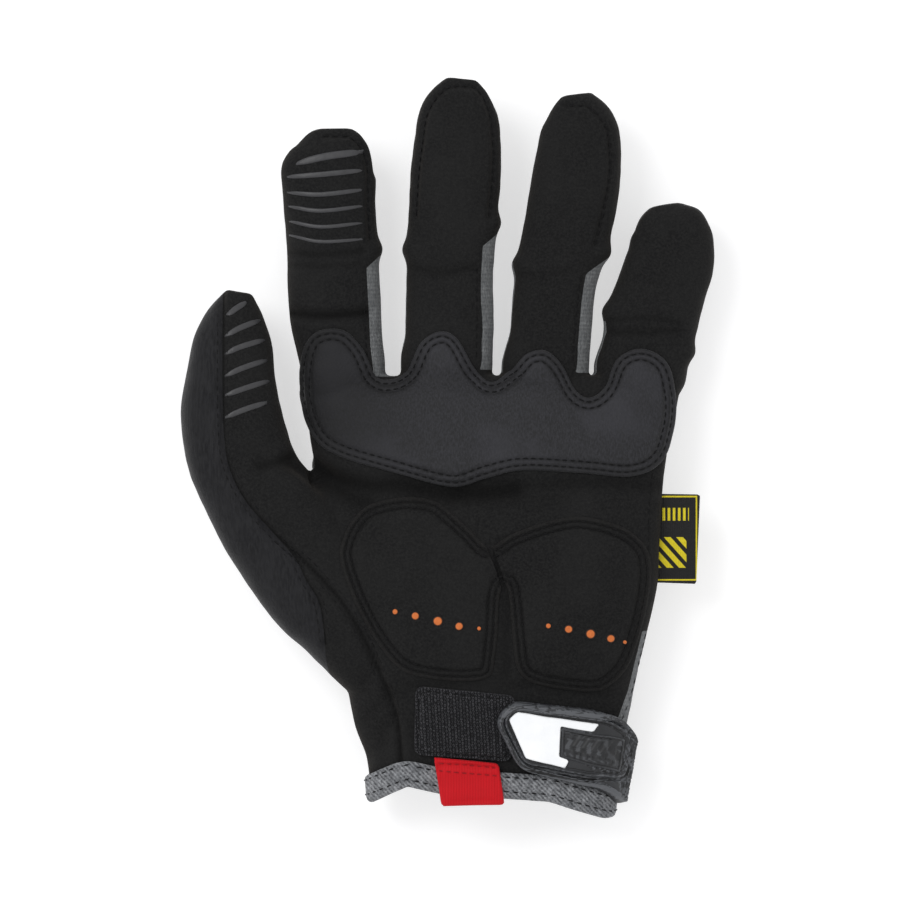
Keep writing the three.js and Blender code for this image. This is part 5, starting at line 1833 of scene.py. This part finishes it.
# Printed stripes on the index fingertip and the thumb: three points each, in millimetres.
INDEX_STRIPES = [
    [(-65, 210.8), (-55, 213.2), (-42.8, 214.8)],
    [(-68.4, 206.4), (-57, 207.2), (-42.8, 208.6)],
    [(-68, 201.3), (-57, 200.6), (-42.6, 202.2)],
    [(-68, 196.8), (-57, 195.2), (-42.6, 196.8)],
    [(-67.8, 191.9), (-57, 189.9), (-42.8, 191.2)],
    [(-67.4, 187.2), (-57, 185.0), (-42.8, 185.8)],
]
THUMB_STRIPES = [
    [(-88.2, 160.4), (-85, 162.8), (-81.5, 165.0)],
    [(-88.5, 153.6), (-84, 156.2), (-76.8, 159.1)],
    [(-88.5, 147.6), (-84, 149.9), (-75.2, 152.6)],
    [(-88.5, 140.4), (-83, 143.0), (-74.4, 145.9)],
    [(-88.5, 134.0), (-82, 136.4), (-73.6, 139.0)],
    [(-88.5, 126.7), (-82, 129.4), (-74.6, 131.8)],
]
INDEX_WIDTHS = [2.4, 1.8, 1.6, 1.4, 1.3, 1.2]
THUMB_WIDTH = 1.9
STRIPE_RISE = 0.35


def band(path, width):
    """The outline of a stripe with tapered ends."""
    line = smooth_path(path, 1.0)
    way = headings(line)
    across = np.column_stack([-way[:, 1], way[:, 0]])
    half = width / 2 * np.sqrt(np.clip(1 - np.linspace(-1, 1, len(line)) ** 4, 0.1, 1))[:, None]
    return np.vstack([line + across * half, (line - across * half)[::-1]])


def grip_stripe(path, width, ground):
    outline = band(path, width)

    def height(xy):
        return STRIPE_RISE * quarter(inward(xy, outline) + 0.05, 0.8)

    return patch(outline, height, ground, 0.7, (0.2, 0.5), -0.3)


def grip_stripes(ground, finish):
    """The printed stripes of the index fingertip and the thumb, as one piece."""
    stripes = list(zip(INDEX_STRIPES, INDEX_WIDTHS)) + [(path, THUMB_WIDTH) for path in THUMB_STRIPES]
    made = [grip_stripe(path, width, ground) for path, width in stripes]
    finished(joined(made), "grip_stripes", finish["grip"], "reinforcement")


def seam_threads(ground, finish):
    """Thread along the seams of the palm: thumb, wedge, fingertips, gussets, outer edge and side strip."""
    thumb = smooth_path(shares(THUMB_SEAM[1:-1]), 1.0)
    wedge = smooth_path(shares(WEDGE_SEAM), 1.0)
    rows = [beside(thumb, 1.7), beside(thumb, -1.7), beside(wedge, 1.6), beside(wedge, -1.6)]
    rows += [tip_seam(name) for name in TIP_SEAMS]
    for first, _ in FORKS:
        y = np.linspace(up_finger(first, 0.0) + 2, up_finger(first, 0.34), 30)
        _, right = finger_sides(first, y)
        rows.append(np.column_stack([right - GUSSET["inset"] - 1.5, y]))
    y = np.linspace(PALM["length"] * 0.42, PALM["length"] * 0.9, 60)
    _, right = palm_edges(y)
    rows.append(np.column_stack([right - 4.0, y]))
    strip = smooth_path(shares(SIDE_STRIP), 1.0)
    rows.append(beside(strip, 1.3))
    thread = stitches(rows, ground, lambda xy: np.full(len(xy), 0.12), 3.0, 2.0, 0.42)
    finished(thread, "seam_thread", finish["dark_thread"], "suede")


# The armoured back

GUARD_FLANGE = [(0.425, 0.55), (0.33, 0.545), (0.2, 0.58), (0.04, 0.565), (-0.1, 0.51), (-0.29, 0.48),
                (-0.36, 0.56), (-0.45, 0.64), (-0.48, 0.8), (-0.41, 0.96), (-0.34, 0.95), (-0.22, 0.8),
                (-0.205, 0.97), (-0.03, 0.97), (0.017, 0.87), (0.065, 0.97), (0.235, 0.97),
                (0.275, 0.86), (0.315, 0.97), (0.455, 0.95), (0.45, 0.8), (0.435, 0.62)]
GUARD_MAIN = [(0.415, 0.58), (0.33, 0.57), (0.2, 0.61), (0.03, 0.595), (-0.1, 0.535), (-0.27, 0.51),
              (-0.32, 0.57), (-0.23, 0.64), (-0.19, 0.75), (-0.18, 0.95), (-0.055, 0.95), (0.0, 0.83),
              (0.035, 0.83), (0.09, 0.95), (0.21, 0.95), (0.26, 0.82), (0.29, 0.82), (0.335, 0.95),
              (0.425, 0.93), (0.428, 0.8)]
GUARD_LOBE = [(-0.26, 0.66), (-0.42, 0.65), (-0.445, 0.78), (-0.4, 0.92), (-0.35, 0.92), (-0.23, 0.78)]
# Its grooves: from where to where, and their width in millimetres.
GUARD_GROOVES = [((0.36, 0.655), (-0.12, 0.85), 2.4), ((-0.12, 0.45), (-0.225, 0.625), 2.0),
                 ((-0.18, 0.45), (-0.275, 0.62), 2.0), ((-0.3, 0.69), (-0.385, 0.87), 2.0),
                 ((-0.35, 0.69), (-0.42, 0.85), 2.0)]
FLANGE_TOP, GUARD_TOP, GROOVE_DEPTH = 1.5, 5.5, 1.9


def knuckle_guard(ground, finish):
    """The guard over the knuckles: a low flange with a raised body and a lobe towards the thumb."""
    flange = rounded(shares(GUARD_FLANGE), 3.0)
    main = rounded(shares(GUARD_MAIN), 3.0)
    lobe = rounded(shares(GUARD_LOBE), 3.5)

    def height(xy):
        raised = np.maximum(signed(xy, main), signed(xy, lobe))
        z = FLANGE_TOP * quarter(inward(xy, flange) + 0.1, 0.7)
        up = quarter(np.maximum(raised, 0), 1.9)
        groove = np.zeros(len(xy))
        for start, end, width in GUARD_GROOVES:
            path = path_distance(xy, shares([start, end]))
            groove = np.maximum(groove, 1 - ramp(path, width * 0.35, width * 0.75))
        return z + up * (GUARD_TOP - FLANGE_TOP - GROOVE_DEPTH * groove)

    bm = cut_sheet(flange, 1.0, (0.2, 0.6))
    for line in (main, lobe):
        for level in (0.0, 0.5, 1.4):
            cut_along(bm, lambda p: signed(p[:, :2], line) - level)
    raise_sheet(bm, height, -0.5)
    move_verts(bm, ground.place(points_of(bm)))
    bmesh.ops.reverse_faces(bm, faces=bm.faces)
    made = finished(bm, "knuckle_guard_rubber", finish["guard"], "guard", ["knuckle_guard"])
    at = glove_millimetres(made)[:, :2]
    raised = np.maximum(signed(at, main), signed(at, lobe))
    with_values(made, "low", 1 - ramp(raised, -0.3, 0.3))
    with_values(made, "dots", ramp(signed(at, main), 2.6, 3.2))
    keep_edges(made, 45)


# Shares of the finger's length and half width, then the ribs' number and their millimetres.
FINGER_GUARD = {"start": 0.03, "end": 0.93, "strip": 0.74, "segment": 0.56, "clusters": (0.045, 0.37, 0.67),
                "segments": ((0.16, 0.34), (0.46, 0.64), (0.76, 0.9)), "ribs": 4, "pitch": 2.7, "width": 1.7,
                "point": 2.4}


def finger_guard(name, ground, finish):
    """The guard along a finger's back: a strip with slotted segments and clusters of pointed ribs."""
    t = np.linspace(-0.1, 1.0, 160)
    centres, half = finger_edge(name, t)
    g = FINGER_GUARD
    length = FINGERS[name]["length"]
    covered = (t >= g["start"]) & (t <= g["end"])
    close = np.sqrt(np.clip(1 - np.clip((t[covered] - 0.84) / (g["end"] - 0.83), 0, 1) ** 2, 0.04, 1))
    outline = strip_outline(centres[covered], half[covered] * g["strip"] * close)
    outline = even(np.vstack([outline, outline[:1]]), 1.0, closed=True)

    def height(xy):
        d = inward(xy, outline)
        place = np.interp(xy[:, 1], centres[:, 1], t)
        u = (xy[:, 0] - np.interp(place, t, centres[:, 0])) / np.interp(place, t, half)
        z = 1.5 * quarter(d + 0.1, 0.6)
        body = np.zeros(len(xy))
        for start, end in g["segments"]:
            edge = np.minimum.reduce([(place - start) * length, (end - place) * length,
                                      (g["segment"] - np.abs(u)) * np.interp(place, t, half)])
            slot = 1 - ramp(np.abs(xy[:, 0] - np.interp(place, t, centres[:, 0])), 0.5, 1.0)
            segment = 1.8 * quarter(np.maximum(edge, 0), 1.3) - slot * ramp(edge, 1.5, 2.2)
            body = np.maximum(body, segment)
        for middle in g["clusters"]:
            for k in range(g["ribs"]):
                line = (place - middle) * length - (k - 1) * g["pitch"] + g["point"] * (1 - np.abs(u) / 0.7)
                across = ramp(0.7 - np.abs(u), 0.0, 0.06)
                body = np.maximum(body, 2.7 * across * bump(line, g["width"]))
        return z + body

    bm = patch(outline, height, ground, 0.75, (0.2, 0.6), -0.5)
    made = finished(bm, name + "_finger_guard_rubber", finish["guard"], "guard", [name + "_finger_guard"])
    risen = height(glove_millimetres(made)[:, :2])
    with_values(made, "low", 1 - ramp(risen, 1.6, 2.2))
    with_values(made, "dots", ramp(risen, 2.8, 3.2) * (1 - ramp(risen, 3.4, 3.7)))
    keep_edges(made, 45)


def cuff_panel(wrap, finish):
    """The panel on the back of the wrist, with a pocket for its label."""
    outline = rounded(shares(CUFF_PANEL), 4.0)
    label = rounded(shares(LABEL), 1.0)

    def height(xy):
        d = inward(xy, outline)
        to_label = signed(xy, label)
        rim = 0.9 * bump(d - 1.8, 2.2)
        pocket = 1.5 * ramp(to_label, -0.5, 0.0)
        ring_round = 0.5 * bump(to_label + 2.0, 1.6)
        return (2.5 + rim + ring_round) * quarter(d + 0.1, 0.9) - pocket

    bm = patch(outline, height, wrap, 1.0, (0.15, 0.5, 1.0, 3.0), -0.4)
    made = finished(bm, "cuff_panel_rubber", finish["dark_rubber"], "dark_guard", ["cuff_panel"])
    keep_edges(made, 45)
    badge = patch(rounded(shares(LABEL), 0.8), lambda xy: np.full(len(xy), 2.6), wrap, 1.0, (0.2,), 0.9)
    made = finished(badge, "cuff_plain_label", finish["label"], "tag", ["cuff_label"])
    tag_grid(made, LABEL)


# The whole glove

def make_finishes():
    return {
        "suede": suede_finish(),
        "stretch": stretch_finish(),
        "gusset": gusset_finish(),
        "mesh": mesh_finish(),
        "reinforcement": reinforcement_finish(),
        "loop": loop_finish(),
        "binding": binding_finish(),
        "guard": dotted_rubber_finish(),
        "dark_rubber": rubber_finish("dark_rubber", tone(46, 47, 50), tone(68, 70, 74), 0.42),
        "strap_rubber": strap_finish(),
        "ribbon": ribbon_finish(),
        "reflector": reflector_finish(),
        "tag": tag_finish("woven_tag", 25.5, 29.5, True),
        "label": tag_finish("woven_label", 42.2, 14.0, False),
        "dark_thread": thread_finish("dark_thread", tone(12, 12, 13), tone(27, 27, 28), 0.15),
        "red_thread": thread_finish("red_thread", tone(120, 8, 16), tone(180, 16, 28), 0.3),
        "grip": grip_finish(),
        "foam": foam_finish(),
    }


def make_glove():
    """All the pieces: the cloth first, then what lies on the palm, then what lies on the back."""
    finish = make_finishes()
    skin = shaped_skin(fused_hand(0.8))
    tree = skin_tree(skin)
    palm_side, back_side = Ground(tree, 1), Ground(tree, -1)
    palm_wrap, back_wrap = SideWrap(palm_side, tree), SideWrap(back_side, tree)
    cloth_panels(skin, finish)
    lining(finish)
    binding(finish)
    heel = pads(palm_side, finish)
    loop_patch(palm_side, finish)
    strap(palm_wrap, finish)
    plate("reflector_white", "reflector_plate", REFLECTOR, 0.6, PLATE_FOOT, STRAP_TOP + 0.35,
          "reflector", "reflector", palm_wrap, finish)
    plate("strap_plain_badge", "strap_badge", BADGE, 0.4, PLATE_FOOT, STRAP_TOP + 0.3,
          "strap_rubber", "dark_guard", palm_wrap, finish, 0.35, plain_bars)
    pull_tab(palm_side, finish)
    side_tag(finish)
    orange_dots(palm_side, heel, finish)
    grip_stripes(palm_side, finish)
    seam_threads(palm_side, finish)
    knuckle_guard(back_side, finish)
    for name in ("middle", "ring", "little"):
        finger_guard(name, back_side, finish)
    cuff_panel(back_wrap, finish)


def make_floor():
    bm = bmesh.new()
    bmesh.ops.create_grid(bm, x_segments=2, y_segments=2, size=3.0)
    floor = as_object(bm, "pale_floor")
    floor.data.materials.append(floor_finish())


def area_light(name, place, size, power):
    lamp = bpy.data.lights.new(name, "AREA")
    lamp.shape = "DISK"
    lamp.size = size
    lamp.energy = power
    made = bpy.data.objects.new(name, lamp)
    made.location = place
    made.rotation_euler = (Vector((0, 0, 0)) - Vector(place)).to_track_quat("-Z", "Y").to_euler()
    bpy.context.scene.collection.objects.link(made)


def make_light():
    world = bpy.data.worlds.new("studio")
    world.use_nodes = True
    world.node_tree.nodes["Background"].inputs[0].default_value = (1, 1, 1, 1)
    world.node_tree.nodes["Background"].inputs[1].default_value = 0.82
    bpy.context.scene.world = world
    bpy.context.scene.view_settings.view_transform = "Standard"
    area_light("key", (-0.7, 0.6, 1.4), 0.8, 9.5)


def make_camera():
    """Straight down on the glove, from far enough for an almost flat view."""
    view = bpy.data.cameras.new("photo_view")
    view.sensor_width = 36.0
    distance, seen = 4.5, 0.3
    view.lens = view.sensor_width * distance / seen
    view.clip_end = 20
    camera = bpy.data.objects.new("photo_view", view)
    middle = (Vector(CAD_BOX[0]) + Vector(CAD_BOX[1])) / 2
    camera.location = (middle.x, middle.y, distance)
    bpy.context.scene.collection.objects.link(camera)
    bpy.context.scene.camera = camera


make_glove()
make_floor()
make_light()
make_camera()
